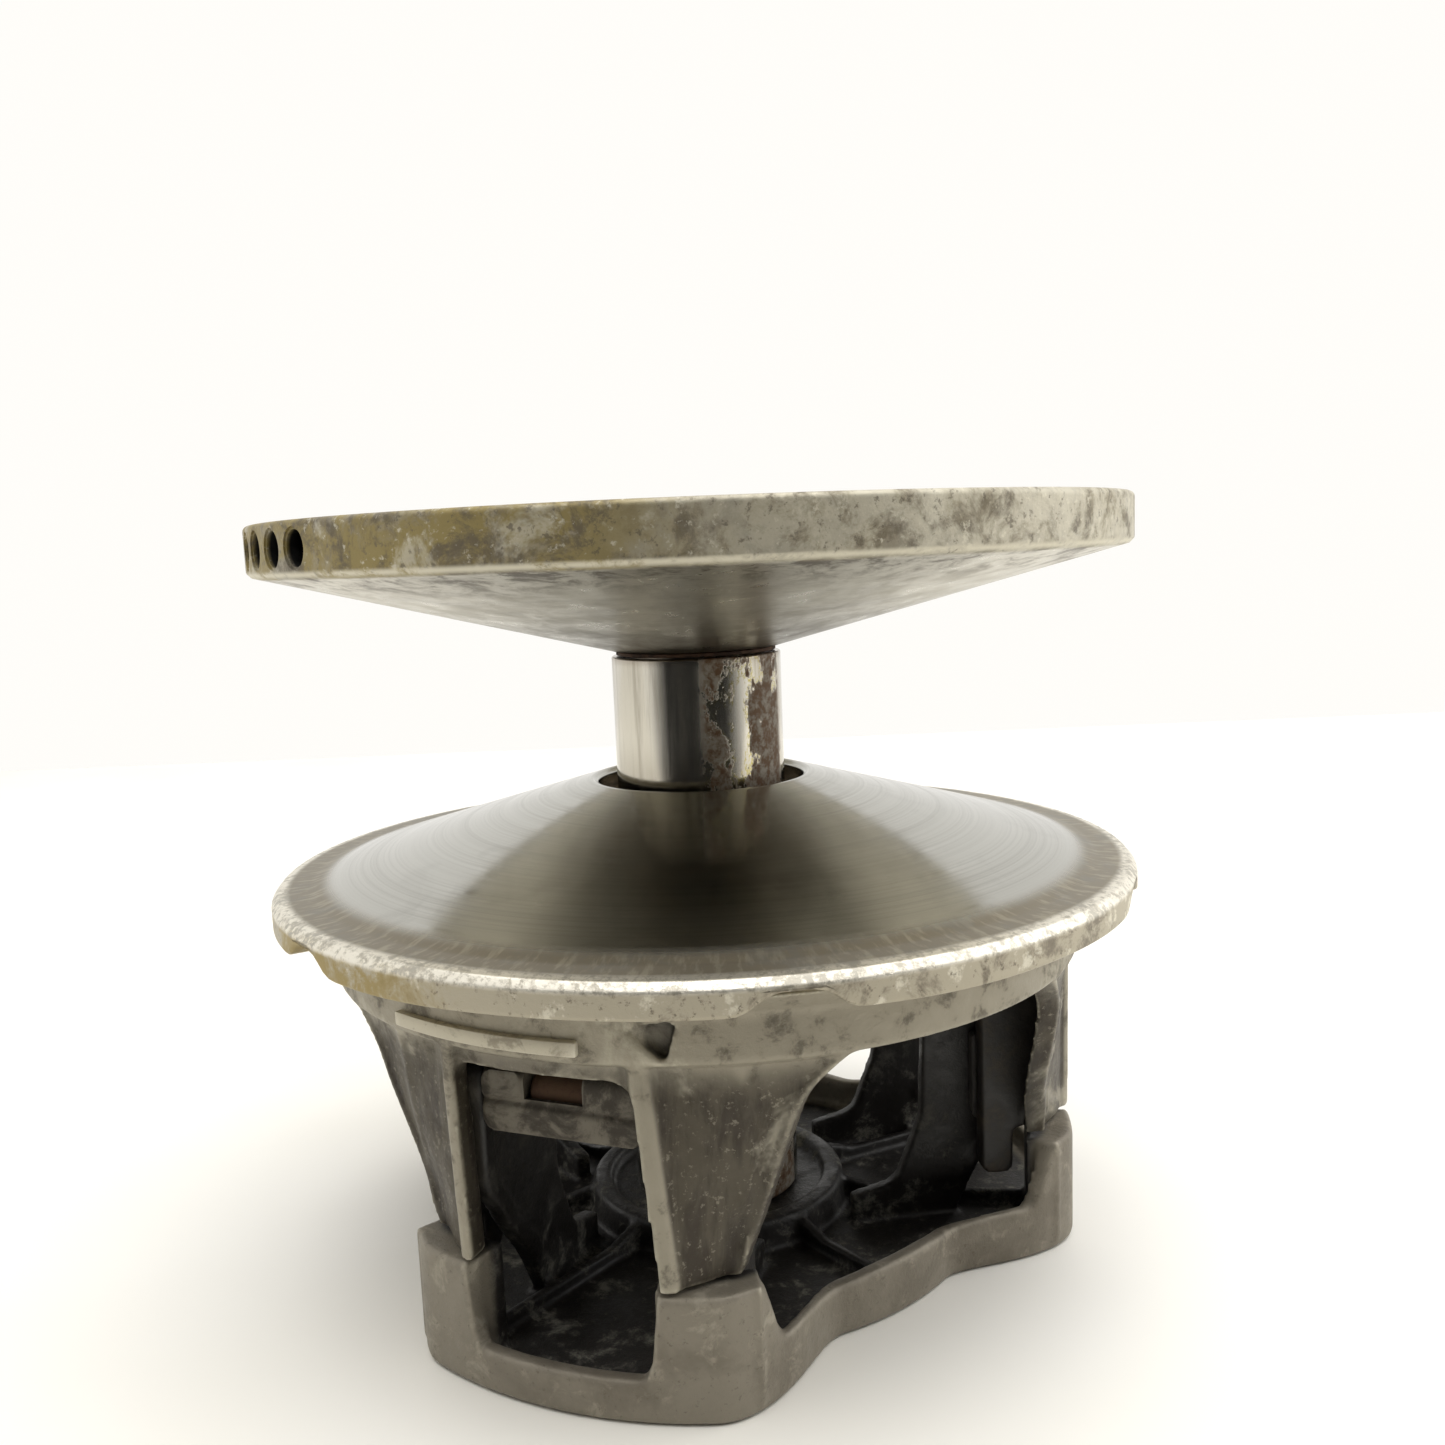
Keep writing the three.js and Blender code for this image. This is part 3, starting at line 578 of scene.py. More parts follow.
# ---------------------------------------------------------------- finishes
class Graph:
    """A material's nodes, with short calls for the patterns that the finishes share."""

    def __init__(self, name: str) -> None:
        """Starts an empty material that reads object coordinates.

        Args:
            name: The material's name.
        """
        self.material = bpy.data.materials.new(name)
        self.material.use_nodes = True
        self.tree = self.material.node_tree
        self.tree.nodes.clear()
        self.place = self.node("ShaderNodeTexCoord").outputs["Object"]
        self.x, self.y, self.z = self.node("ShaderNodeSeparateXYZ", {0: self.place}).outputs
        flat = self.node("ShaderNodeCombineXYZ", {0: self.x, 1: self.y}).outputs[0]
        self.radius = self.node("ShaderNodeVectorMath", {0: flat}, operation="LENGTH").outputs["Value"]

    def node(self, kind: str, values: Optional[dict] = None, **settings: object) -> bpy.types.Node:
        """Adds a node.

        Args:
            kind: The node's type.
            values: Input name or number to a socket or a constant.
            **settings: The node's own properties.

        Returns:
            The node.
        """
        made = self.tree.nodes.new(kind)
        for key, value in settings.items():
            setattr(made, key, value)
        for key, value in (values or {}).items():
            if isinstance(value, Socket):
                self.tree.links.new(value, made.inputs[key])
            elif isinstance(value, tuple) and len(value) == 3 and made.inputs[key].type == "RGBA":
                made.inputs[key].default_value = (*value, 1.0)
            else:
                made.inputs[key].default_value = value
        return made

    def calc(self, operation: str, a: object, b: object = 0.0, clamp: bool = False) -> Socket:
        """Adds a math node and returns its output."""
        return self.node("ShaderNodeMath", {0: a, 1: b}, operation=operation, use_clamp=clamp).outputs[0]

    def times(self, a: object, b: object) -> Socket:
        """Multiplies two numbers: of two masks, it keeps what both show."""
        return self.calc("MULTIPLY", a, b)

    def noise(self, grain: float, detail: float = 5.0, rough: float = 0.6, distort: float = 0.0,
              stretch: Place = (1.0, 1.0, 1.0), shift: float = 0.0) -> Socket:
        """Adds a noise pattern.

        Args:
            grain: Size of its coarsest marks, in millimetres.
            detail: Octaves of finer marks.
            rough: Strength of the finer marks.
            distort: How much the marks are swirled.
            stretch: Marks are squeezed this much along each axis.
            shift: Moves the pattern, so that two of a kind differ.

        Returns:
            The pattern, near 0.5.
        """
        where = self.node("ShaderNodeMapping", {"Vector": self.place, "Scale": stretch,
                                                "Location": (shift, shift * 0.7, shift * 1.3)}).outputs[0]
        made = self.node("ShaderNodeTexNoise", {"Vector": where, "Scale": 1.0 / (grain * MM),
                                                "Detail": detail, "Roughness": rough, "Distortion": distort})
        return made.outputs[0]

    def rings(self, pitch: float) -> Socket:
        """Adds fine turning marks, which change only with the distance from the shaft axis.

        Args:
            pitch: Spacing of the marks, in millimetres.

        Returns:
            The pattern, near 0.5.
        """
        where = self.node("ShaderNodeCombineXYZ", {0: self.radius, 1: self.times(self.z, 0.3)}).outputs[0]
        made = self.node("ShaderNodeTexNoise", {"Vector": where, "Scale": 1.0 / (pitch * MM), "Detail": 3.0,
                                                "Roughness": 0.7})
        return made.outputs[0]

    def scratches(self, length: float, turns: float) -> Socket:
        """Adds short marks that run along the radius.

        Args:
            length: Length of the marks, in millimetres.
            turns: How closely they stand round the axis.

        Returns:
            The pattern, near 0.5.
        """
        angle = self.calc("ARCTAN2", self.y, self.x)
        where = self.node("ShaderNodeCombineXYZ", {0: self.times(self.radius, 1 / (length * MM)),
                                                   1: self.times(angle, turns)}).outputs[0]
        made = self.node("ShaderNodeTexNoise", {"Vector": where, "Scale": 1.0, "Detail": 3.0,
                                                "Roughness": 0.6})
        return made.outputs[0]

    def fade(self, value: object, low: float, high: float, start: float = 0.0, end: float = 1.0) -> Socket:
        """Maps a value smoothly from low..high to start..end, held at both ends."""
        values = {"Value": value, "From Min": low, "From Max": high, "To Min": start, "To Max": end}
        return self.node("ShaderNodeMapRange", values, interpolation_type="SMOOTHSTEP").outputs[0]

    def near(self, value: object, centre: float, width: float) -> Socket:
        """Returns 1 where a value is at the centre, fading to 0 a width away."""
        away = self.calc("ABSOLUTE", self.calc("SUBTRACT", value, centre))
        return self.fade(away, 0.0, width, 1.0, 0.0)

    def toward(self, angle: float, spread: float) -> Socket:
        """Masks one side of the clutch, by angles in degrees about the shaft axis.

        Args:
            angle: The direction, from +X.
            spread: Angle from it at which the mask has faded out.

        Returns:
            The mask.
        """
        a = math.radians(angle)
        along = self.calc("ADD", self.times(self.x, math.cos(a)), self.times(self.y, math.sin(a)))
        cosine = self.calc("DIVIDE", along, self.calc("MAXIMUM", self.radius, 1e-5))
        return self.fade(cosine, math.cos(math.radians(spread)), 1.0)

    def mix(self, share: object, first: object, second: object) -> Socket:
        """Mixes two colours."""
        made = self.node("ShaderNodeMix", {0: share, 6: first, 7: second}, data_type="RGBA")
        return made.outputs[2]

    def layers(self, base: object, coats: Sequence[tuple[object, object]]) -> Socket:
        """Lays colours over a base, each through its mask.

        Args:
            base: The first colour.
            coats: Pairs of mask and colour, from the lowest coat up.

        Returns:
            The mixed colour.
        """
        colour = base
        for mask, coat in coats:
            colour = self.mix(mask, colour, coat)
        return colour

    def blendf(self, share: object, first: object, second: object) -> Socket:
        """Mixes two numbers."""
        return self.node("ShaderNodeMix", {0: share, 2: first, 3: second}, data_type="FLOAT").outputs[0]

    def edges(self, low: float = 0.52, high: float = 0.6) -> Socket:
        """Returns 1 on outward edges of a finely meshed piece and 0 elsewhere."""
        return self.fade(self.node("ShaderNodeNewGeometry").outputs["Pointiness"], low, high)

    def crevice_shade(self, reach: float) -> Socket:
        """Returns 1 deep in hollows and corners, and 0 on open faces, as a mask for painted shade; reach is
        in millimetres.
        """
        made = self.node("ShaderNodeAmbientOcclusion", {"Distance": reach * MM}, samples=6, only_local=True)
        return self.fade(made.outputs["AO"], 0.35, 0.95, 1.0, 0.0)

    def close(self, colour: object, metal: object, rough: object, height: object = None, depth: float = 0.1,
              strength: float = 0.6, **constants: float) -> Material:
        """Joins the shader to the output.

        Args:
            colour: Base colour.
            metal: Metallic share.
            rough: Roughness.
            height: Relief pattern, or None.
            depth: Depth of the relief, in millimetres.
            strength: Strength of the relief.
            **constants: Other shader inputs by name, with underscores for spaces.

        Returns:
            The material.
        """
        values: dict = {"Base Color": colour, "Metallic": metal, "Roughness": rough}
        if height is not None:
            relief = {"Height": height, "Distance": depth * MM, "Strength": strength}
            bump = self.node("ShaderNodeBump", relief)
            values["Normal"] = bump.outputs[0]
        values.update({key.replace("_", " "): value for key, value in constants.items()})
        shader = self.node("ShaderNodeBsdfPrincipled", values)
        output = self.node("ShaderNodeOutputMaterial")
        self.tree.links.new(shader.outputs[0], output.inputs["Surface"])
        return self.material


@dataclass(frozen=True)
class RimPatina:
    """Fixed sheave: a mottled, yellowed rim with painted light on its right side, over a smoother grey cone
    that darkens towards the hub as painted shade; painted shade inside the balance holes.
    """

    metal: Colour = (0.36, 0.325, 0.245)
    yellow: Colour = (0.30, 0.235, 0.085)
    brown: Colour = (0.135, 0.112, 0.08)
    pale: Colour = (0.66, 0.62, 0.50)
    cone: Colour = (0.52, 0.49, 0.41)
    # Soot on the turning rings; near the hub, painted shade
    soot_and_shade: Colour = (0.06, 0.05, 0.037)
    # Painted shade inside the balance holes
    hole_shade_black: Colour = (0.006, 0.005, 0.004)

    def make(self, rim_z: float, rim_r: float, hub_r: float, hole_z: float) -> Material:
        """Makes the material.

        Args:
            rim_z: Height of the rim's lower edge, in metres.
            rim_r: Radius of the rim, in metres.
            hub_r: Radius of the cone's small end, in metres.
            hole_z: Height of the balance holes, in metres.

        Returns:
            The material.
        """
        g = Graph("fixed_sheave_patina")
        wide = g.noise(26, 6, 0.68, 0.6)
        blot = g.noise(9, 6, 0.7, 0.4, shift=0.3)
        speck = g.noise(2.2, 4, 0.7, shift=0.9)
        left = g.fade(g.toward(-135, 85), 0.0, 0.7)
        # right marks the rim's right side, which is painted lighter as painted light from that side
        right = g.fade(g.toward(-15, 70), 0.0, 0.8)
        rim = g.layers(self.metal, [
            (g.fade(g.noise(5, 5, 0.7, 0.2, shift=3.1), 0.44, 0.60, 0.0, 0.7), self.brown),
            (g.times(g.fade(wide, 0.42, 0.56), g.fade(left, 0, 1, 0.15, 0.95)), self.yellow),
            # Painted light on the right side: fewer brown blots and more pale patches there
            (g.times(g.fade(blot, 0.50, 0.64, 0.0, 0.8), g.fade(right, 0.0, 1.0, 1.0, 0.35)), self.brown),
            (g.fade(g.noise(12, 5, 0.7, 0.3, shift=1.7), 0.54, 0.68, 0.0, 0.6), self.pale),
            (g.times(right, g.fade(blot, 0.62, 0.42, 0.0, 0.6)), self.pale),
            (g.fade(speck, 0.58, 0.70, 0.0, 0.7), self.pale),
            (g.fade(speck, 0.43, 0.33, 0.0, 0.7), self.brown),
        ])
        line = g.times(g.near(g.z, rim_z + 0.0004, 0.0011), g.fade(blot, 0.36, 0.52))
        edge = g.times(line, g.fade(g.radius, rim_r - 0.004, rim_r - 0.001))
        cone = g.layers(self.cone, [
            (g.fade(wide, 0.45, 0.7, 0.0, 0.35), self.brown),
            (g.fade(g.rings(0.9), 0.5, 0.75, 0.0, 0.25), self.soot_and_shade),
            # Painted shade, partly dirt: the cone darkens towards the hub, in the shadowed gap between the
            # sheaves
            (g.fade(g.radius, 0.075, hub_r, 0.0, 0.8), self.soot_and_shade),
            (g.times(g.fade(g.radius, 0.050, hub_r, 0.0, 0.7), g.fade(blot, 0.36, 0.60)), self.brown),
            (g.times(g.fade(g.radius, rim_r - 0.025, rim_r - 0.003), g.fade(blot, 0.46, 0.62)), self.brown),
        ])
        on_rim = g.fade(g.radius, rim_r - 0.0035, rim_r - 0.0015)
        level = g.calc("ABSOLUTE", g.calc("SUBTRACT", g.z, hole_z))
        # Painted shade: the walls inside the balance holes are painted near-black
        hole_shade = g.times(g.fade(level, 0.0044, 0.0040), g.fade(g.radius, rim_r - 0.0004, rim_r - 0.0014))
        hole_shade = g.times(hole_shade, g.fade(g.radius, rim_r - 0.0088, rim_r - 0.0084))
        colour = g.layers(g.mix(on_rim, cone, rim), [(edge, self.pale), (hole_shade, self.hole_shade_black)])
        rough = g.blendf(on_rim, g.fade(blot, 0.3, 0.7, 0.26, 0.42), g.fade(blot, 0.3, 0.7, 0.42, 0.66))
        metal = g.blendf(on_rim, 0.85, 0.35)
        height = g.calc("ADD", g.times(speck, g.blendf(on_rim, 0.12, 0.7)), g.times(blot, 0.35))
        return g.close(colour, metal, rough, height, 0.35, 0.5)


@dataclass(frozen=True)
class BeltFace:
    """Sliding sheave: a glossy belt face with a dull outer band, a worn edge with a painted highlight on it,
    and a cast rim.
    """

    face: Colour = (0.46, 0.455, 0.42)
    haze: Colour = (0.23, 0.225, 0.20)
    band: Colour = (0.25, 0.22, 0.165)
    # Bare worn metal, brightened as a painted highlight
    bare_and_highlight: Colour = (0.84, 0.80, 0.70)
    cast: Colour = (0.45, 0.405, 0.31)
    brown: Colour = (0.14, 0.115, 0.082)
    pale: Colour = (0.72, 0.68, 0.56)
    stain: Colour = (0.34, 0.26, 0.10)

    def make(self, edge_r: float, edge_z: float) -> Material:
        """Makes the material.

        Args:
            edge_r: Outer radius, in metres.
            edge_z: Height of the belt face's outer edge, in metres.

        Returns:
            The material.
        """
        g = Graph("sliding_sheave_face")
        fine, wide = g.rings(0.55), g.rings(3.5)
        blot = g.noise(10, 6, 0.7, 0.4)
        speck = g.noise(1.8, 4, 0.7, shift=0.4)
        ring = g.fade(g.radius, edge_r - 0.0155, edge_r - 0.0105)
        face = g.layers(self.face, [
            (g.fade(fine, 0.42, 0.72, 0.0, 0.25), self.haze),
            (g.fade(wide, 0.50, 0.66, 0.0, 0.22), self.haze),
            (g.fade(g.noise(22, 5, 0.6, 0.8), 0.5, 0.75, 0.0, 0.30), self.haze),
        ])
        band = g.layers(self.band, [
            (g.fade(g.scratches(7.0, 46.0), 0.48, 0.66, 0.0, 0.55), self.cast),
            (g.fade(blot, 0.48, 0.66, 0.0, 0.5), self.haze),
        ])
        rim = g.layers(self.cast, [
            (g.fade(blot, 0.50, 0.64, 0.0, 0.75), self.brown),
            (g.fade(g.noise(6, 5, 0.7, shift=2.1), 0.55, 0.66, 0.0, 0.8), self.pale),
            (g.fade(speck, 0.58, 0.70, 0.0, 0.8), self.brown),
            (g.times(g.toward(-117, 26), g.fade(blot, 0.40, 0.55)), self.stain),
        ])
        top = g.fade(g.z, edge_z - 0.0006, edge_z + 0.0006)
        # The top edge band is painted bright: real wear, partly a painted highlight
        wear = g.times(g.fade(g.radius, edge_r - 0.0046, edge_r - 0.0026), top)
        worn_and_highlit = g.times(wear, g.fade(g.calc("ADD", speck, g.times(blot, 0.6)), 0.70, 0.95, 1.0, 0.35))
        outside = g.fade(g.radius, edge_r - 0.0018, edge_r - 0.0004)
        low = g.calc("MAXIMUM", g.calc("SUBTRACT", 1.0, top), g.times(outside, g.fade(speck, 0.55, 0.5)))
        colour = g.layers(g.mix(ring, face, band), [(low, rim), (worn_and_highlit, self.bare_and_highlight)])
        rough = g.blendf(ring, g.fade(wide, 0.3, 0.7, 0.10, 0.20), 0.42)
        rough = g.blendf(worn_and_highlit, g.blendf(low, rough, 0.55), 0.38)
        metal = g.blendf(worn_and_highlit, g.blendf(low, g.blendf(ring, 1.0, 0.7), 0.35), 0.9)
        grain = g.blendf(low, g.blendf(wear, g.times(fine, 0.04), g.times(blot, 0.5)), speck)
        return g.close(colour, metal, rough, grain, 0.3, 0.45)


@dataclass(frozen=True)
class TowerCasting:
    """Sliding sheave below its rim: pale cast beads over brown panels darkened with painted shade, and
    near-black painted shade inside and in crevices.
    """

    cast: Colour = (0.31, 0.28, 0.215)
    pale: Colour = (0.58, 0.54, 0.43)
    # Dark panel colour: painted shade with brown
    panel: Colour = (0.085, 0.072, 0.05)
    brown: Colour = (0.045, 0.035, 0.024)
    # Painted shade for the towers' inner faces and crevices
    soot_and_shade: Colour = (0.016, 0.014, 0.012)

    def make(self, skirt_z: float, wall_r: float) -> Material:
        """Makes the material.

        Args:
            skirt_z: Height of the skirt's lower edge, in metres.
            wall_r: Outer radius of the towers' walls, in metres.

        Returns:
            The material.
        """
        g = Graph("tower_casting")
        wide, blot = g.noise(24, 5, 0.65, 0.5), g.noise(7, 6, 0.7, 0.3, shift=0.6)
        streak = g.noise(5, 5, 0.65, 0.3, stretch=(1.0, 1.0, 0.22), shift=1.1)
        speck = g.noise(1.6, 4, 0.7, shift=0.2)
        below = g.fade(g.z, skirt_z + 0.004, skirt_z - 0.008)
        proud = g.fade(g.radius, wall_r + 0.0002, wall_r + 0.0012)
        # inside marks the towers' inner faces, which are painted dark as painted shade
        inside = g.fade(g.radius, wall_r - 0.0020, wall_r - 0.0120)
        panel = g.times(below, g.calc("SUBTRACT", 1.0, proud))
        colour = g.layers(self.cast, [
            (g.fade(blot, 0.50, 0.66, 0.0, 0.6), self.brown),
            # Painted shade with brown streaks: the legs' sunken panels are painted dark
            (panel, g.mix(g.fade(streak, 0.42, 0.62), self.panel, self.brown)),
            (g.times(panel, g.fade(speck, 0.57, 0.68, 0.0, 0.5)), self.cast),
            (g.fade(wide, 0.56, 0.70, 0.0, 0.45), self.pale),
            (g.times(g.edges(0.515, 0.58), g.fade(blot, 0.35, 0.55)), self.pale),
            # Painted shade: inner faces near-black with brown blots
            (inside, g.mix(g.fade(blot, 0.45, 0.7), self.soot_and_shade, self.brown)),
            # Painted shade in the crevices, from the occlusion mask
            (g.crevice_shade(7.0), self.soot_and_shade),
        ])
        metal = g.blendf(inside, 0.35, 0.1)
        height = g.calc("ADD", speck, g.times(blot, 0.5))
        return g.close(colour, metal, g.fade(blot, 0.3, 0.7, 0.42, 0.66), height, 0.35, 0.5)


@dataclass(frozen=True)
class CupCasting:
    """Governor cup: grey-beige sand casting outside; inside, near-black painted shade with paler dust
    patches.
    """

    cast: Colour = (0.235, 0.21, 0.165)
    pale: Colour = (0.47, 0.43, 0.345)
    brown: Colour = (0.11, 0.09, 0.065)
    # Painted shade for the cup's interior
    soot_and_shade: Colour = (0.014, 0.012, 0.0105)
    dust: Colour = (0.26, 0.25, 0.21)

    def make(self, floor_z: float, wall_top: float) -> Material:
        """Makes the material.

        Args:
            floor_z: Height of the cup's floor, in metres.
            wall_top: Height of its wall, in metres.

        Returns:
            The material.
        """
        g = Graph("cup_casting")
        wide, blot = g.noise(28, 5, 0.65, 0.5), g.noise(8, 6, 0.7, 0.4, shift=0.8)
        speck = g.noise(1.5, 4, 0.75, shift=0.5)
        chalk = g.noise(11, 7, 0.78, 0.2, shift=2.4)
        turn = g.calc("ARCTAN2", g.y, g.x)
        lobe = g.calc("COSINE", g.times(g.calc("ADD", turn, math.radians(90)), 3.0))
        wall = g.fade(lobe, -0.75, 0.35, 0.0610, 0.0835)
        depth = g.calc("SUBTRACT", wall, g.radius)
        # inside marks the cup's interior, which is painted near-black as painted shade
        inside = g.times(g.fade(depth, -0.0015, 0.0015), g.fade(g.z, floor_z - 0.002, floor_z))
        outer = g.layers(self.cast, [
            (g.fade(wide, 0.46, 0.66, 0.0, 0.5), self.brown),
            (g.fade(blot, 0.52, 0.68, 0.0, 0.45), self.pale),
            (g.fade(speck, 0.58, 0.70, 0.0, 0.6), self.brown),
            (g.times(g.edges(0.515, 0.58), g.fade(blot, 0.3, 0.55)), self.pale),
        ])
        low_down = g.fade(g.z, wall_top + 0.020, wall_top - 0.002, 0.25, 0.85)
        # Painted shade in near-black inside the cup, with paler dust patches lower down and on edges
        inner = g.layers(self.soot_and_shade, [
            (g.times(g.fade(chalk, 0.50, 0.68), low_down), self.dust),
            (g.times(g.edges(0.54, 0.62), g.fade(blot, 0.40, 0.6, 0.0, 0.6)), self.dust),
        ])
        colour = g.mix(inside, outer, inner)
        metal = g.blendf(inside, 0.35, 0.0)
        height = g.calc("ADD", speck, g.times(chalk, 0.5))
        rough = g.blendf(inside, g.fade(blot, 0.3, 0.7, 0.42, 0.64), g.fade(chalk, 0.4, 0.7, 0.40, 0.85))
        return g.close(colour, metal, rough, height, 0.4, 0.55)


@dataclass(frozen=True)
class PolishedPost:
    """Ground steel with fine upright streaks and patches of brown rust."""

    steel: Colour = (0.60, 0.57, 0.50)
    streak: Colour = (0.30, 0.27, 0.22)
    rust: Colour = (0.13, 0.068, 0.028)
    yellow: Colour = (0.40, 0.34, 0.09)
    side: float = -32.0

    def make(self, low: float, high: float) -> Material:
        """Makes the material.

        Args:
            low: Height where the bare post starts, in metres.
            high: Height where it ends.

        Returns:
            The material.
        """
        g = Graph("post_steel")
        streak = g.noise(2.6, 5, 0.65, 0.0, stretch=(1.0, 1.0, 0.05))
        blot = g.noise(11, 6, 0.72, 0.15, stretch=(1.0, 1.0, 0.55), shift=0.37)
        turned = g.rings(0.4)
        patch = g.fade(g.toward(self.side, 40), 0.0, 0.45)
        rust = g.times(patch, g.fade(blot, 0.46, 0.51))
        edge = g.times(patch, g.near(blot, 0.455, 0.012))
        colour = g.layers(self.steel, [
            (g.fade(streak, 0.46, 0.68, 0.0, 0.6), self.streak),
            (g.fade(g.z, low + 0.012, low, 0.0, 0.5), self.streak),
            (edge, self.yellow),
            (rust, g.mix(g.fade(g.noise(2.5, 4, 0.7), 0.4, 0.65), self.rust, self.streak)),
            (g.fade(g.z, high - 0.004, high, 0.0, 0.7), self.rust),
        ])
        rough = g.blendf(rust, g.fade(streak, 0.3, 0.7, 0.08, 0.22), 0.65)
        metal = g.blendf(rust, 1.0, 0.15)
        height = g.calc("ADD", g.times(turned, 0.04), g.times(rust, 0.8))
        return g.close(colour, metal, rough, height, 0.12, 0.5)


@dataclass(frozen=True)
class WornMetal:
    """A plain metal with dirt, scuffed edges and a fine grain, for the small parts."""

    name: str
    metal: Colour
    dirt: Colour
    scuff: Colour
    rough: float = 0.35
    metallic: float = 0.9
    grain: float = 3.0
    dirty: float = 0.5

    def make(self) -> Material:
        """Makes the material.

        Returns:
            The material.
        """
        g = Graph(self.name)
        blot = g.noise(self.grain * 2.5, 6, 0.7, 0.4)
        speck = g.noise(self.grain * 0.5, 4, 0.7, shift=0.6)
        colour = g.layers(self.metal, [
            (g.fade(blot, 0.62 - 0.3 * self.dirty, 0.72 - 0.2 * self.dirty, 0.0, 0.85), self.dirt),
            (g.fade(speck, 0.58, 0.70, 0.0, 0.5), self.dirt),
            (g.times(g.edges(), g.fade(blot, 0.35, 0.6)), self.scuff),
        ])
        rough = g.fade(blot, 0.3, 0.7, self.rough, min(0.95, self.rough + 0.3))
        return g.close(colour, self.metallic, rough, g.calc("ADD", speck, blot), 0.15, 0.45)


@dataclass(frozen=True)
class StudioFloor:
    """A plain pale floor with a barely uneven tone."""

    light: Colour = (0.93, 0.915, 0.87)
    shade: Colour = (0.90, 0.88, 0.82)

    def make(self) -> Material:
        """Makes the material.

        Returns:
            The material.
        """
        g = Graph("studio_floor")
        cloud = g.noise(220, 3, 0.5)
        return g.close(g.mix(g.fade(cloud, 0.4, 0.65), self.light, self.shade), 0.0, 0.6)


@dataclass(frozen=True)
class Finishes:
    """Every finish of the clutch, made once and shared."""

    fixed: Material
    face: Material
    tower: Material
    bar: Material
    cup: Material
    post: Material
    lever: Material
    steel: Material
    zinc: Material
    rusty: Material
    spring: Material
    bronze: Material
    polymer: Material

    @classmethod
    def make_all(cls) -> "Finishes":
        """Makes each material, placed by the heights and radii of the pieces that wear it.

        Returns:
            The finishes.
        """
        fixed, sliding, tower, cup = FixedSheave(), SlidingSheave(), Tower(), GovernorCup()
        post_low, post_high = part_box("sliding_sheave")[1].z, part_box("fixed_sheave")[0].z
        return cls(
            fixed=RimPatina().make(fixed.rim_low * MM, fixed.rim_r * MM, fixed.hub_r * MM, fixed.hole_z * MM),
            face=BeltFace().make(sliding.radius * MM, sliding.edge_z * MM),
            tower=TowerCasting().make(sliding.skirt_low * MM, tower.wall_r * MM),
            bar=WornMetal("bar_casting", (0.50, 0.46, 0.36), (0.24, 0.205, 0.15), (0.8, 0.76, 0.64),
                          rough=0.4, metallic=0.4, dirty=0.3).make(),
            cup=CupCasting().make(cup.floor_t * MM, cup.wall_z * MM),
            post=PolishedPost().make(post_low, post_high),
            lever=WornMetal("lever_casting", (0.15, 0.132, 0.10), (0.04, 0.032, 0.023), (0.34, 0.31, 0.25),
                            rough=0.5, metallic=0.3, grain=4.0, dirty=0.75).make(),
            steel=WornMetal("roller_steel", (0.42, 0.40, 0.36), (0.10, 0.08, 0.06), (0.75, 0.73, 0.68),
                            rough=0.22).make(),
            zinc=WornMetal("zinc_plate", (0.40, 0.37, 0.30), (0.13, 0.09, 0.055), (0.7, 0.66, 0.56)).make(),
            rusty=WornMetal("rusty_bush", (0.075, 0.036, 0.018), (0.025, 0.016, 0.011), (0.15, 0.085, 0.045),
                            rough=0.7, metallic=0.2, grain=2.0).make(),
            spring=WornMetal("spring_wire", (0.10, 0.105, 0.11), (0.03, 0.028, 0.025), (0.3, 0.3, 0.3),
                             rough=0.4).make(),
            bronze=WornMetal("bronze_collar", (0.28, 0.18, 0.075), (0.06, 0.04, 0.02), (0.6, 0.42, 0.2),
                             rough=0.4).make(),
            polymer=WornMetal("shoe_polymer", (0.03, 0.027, 0.023), (0.012, 0.011, 0.01), (0.12, 0.11, 0.1),
                              rough=0.6, metallic=0.0, dirty=0.4).make(),
        )


# ---------------------------------------------------------------- pieces
def report(piece: Solid, body: str, nodes: Sequence[str],
           finish: Optional[Material] = None) -> Solid:
    """Dresses a finished piece, ties it to the frame and logs it.

    Args:
        piece: The finished mesh.
        body: The CAD body that it moves with.
        nodes: CAD nodes that it stands for.
        finish: Its material, or None where its mesh already has one.

    Returns:
        The piece.
    """
    if finish is not None:
        piece.data.materials.clear()
        piece.data.materials.append(finish)
    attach(piece, body)
    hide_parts(*nodes)
    triangles = sum(len(face.vertices) - 2 for face in piece.data.polygons)
    log.info("%s: %d triangles on %s, for %s", piece.name, triangles, body, ", ".join(nodes))
    return piece


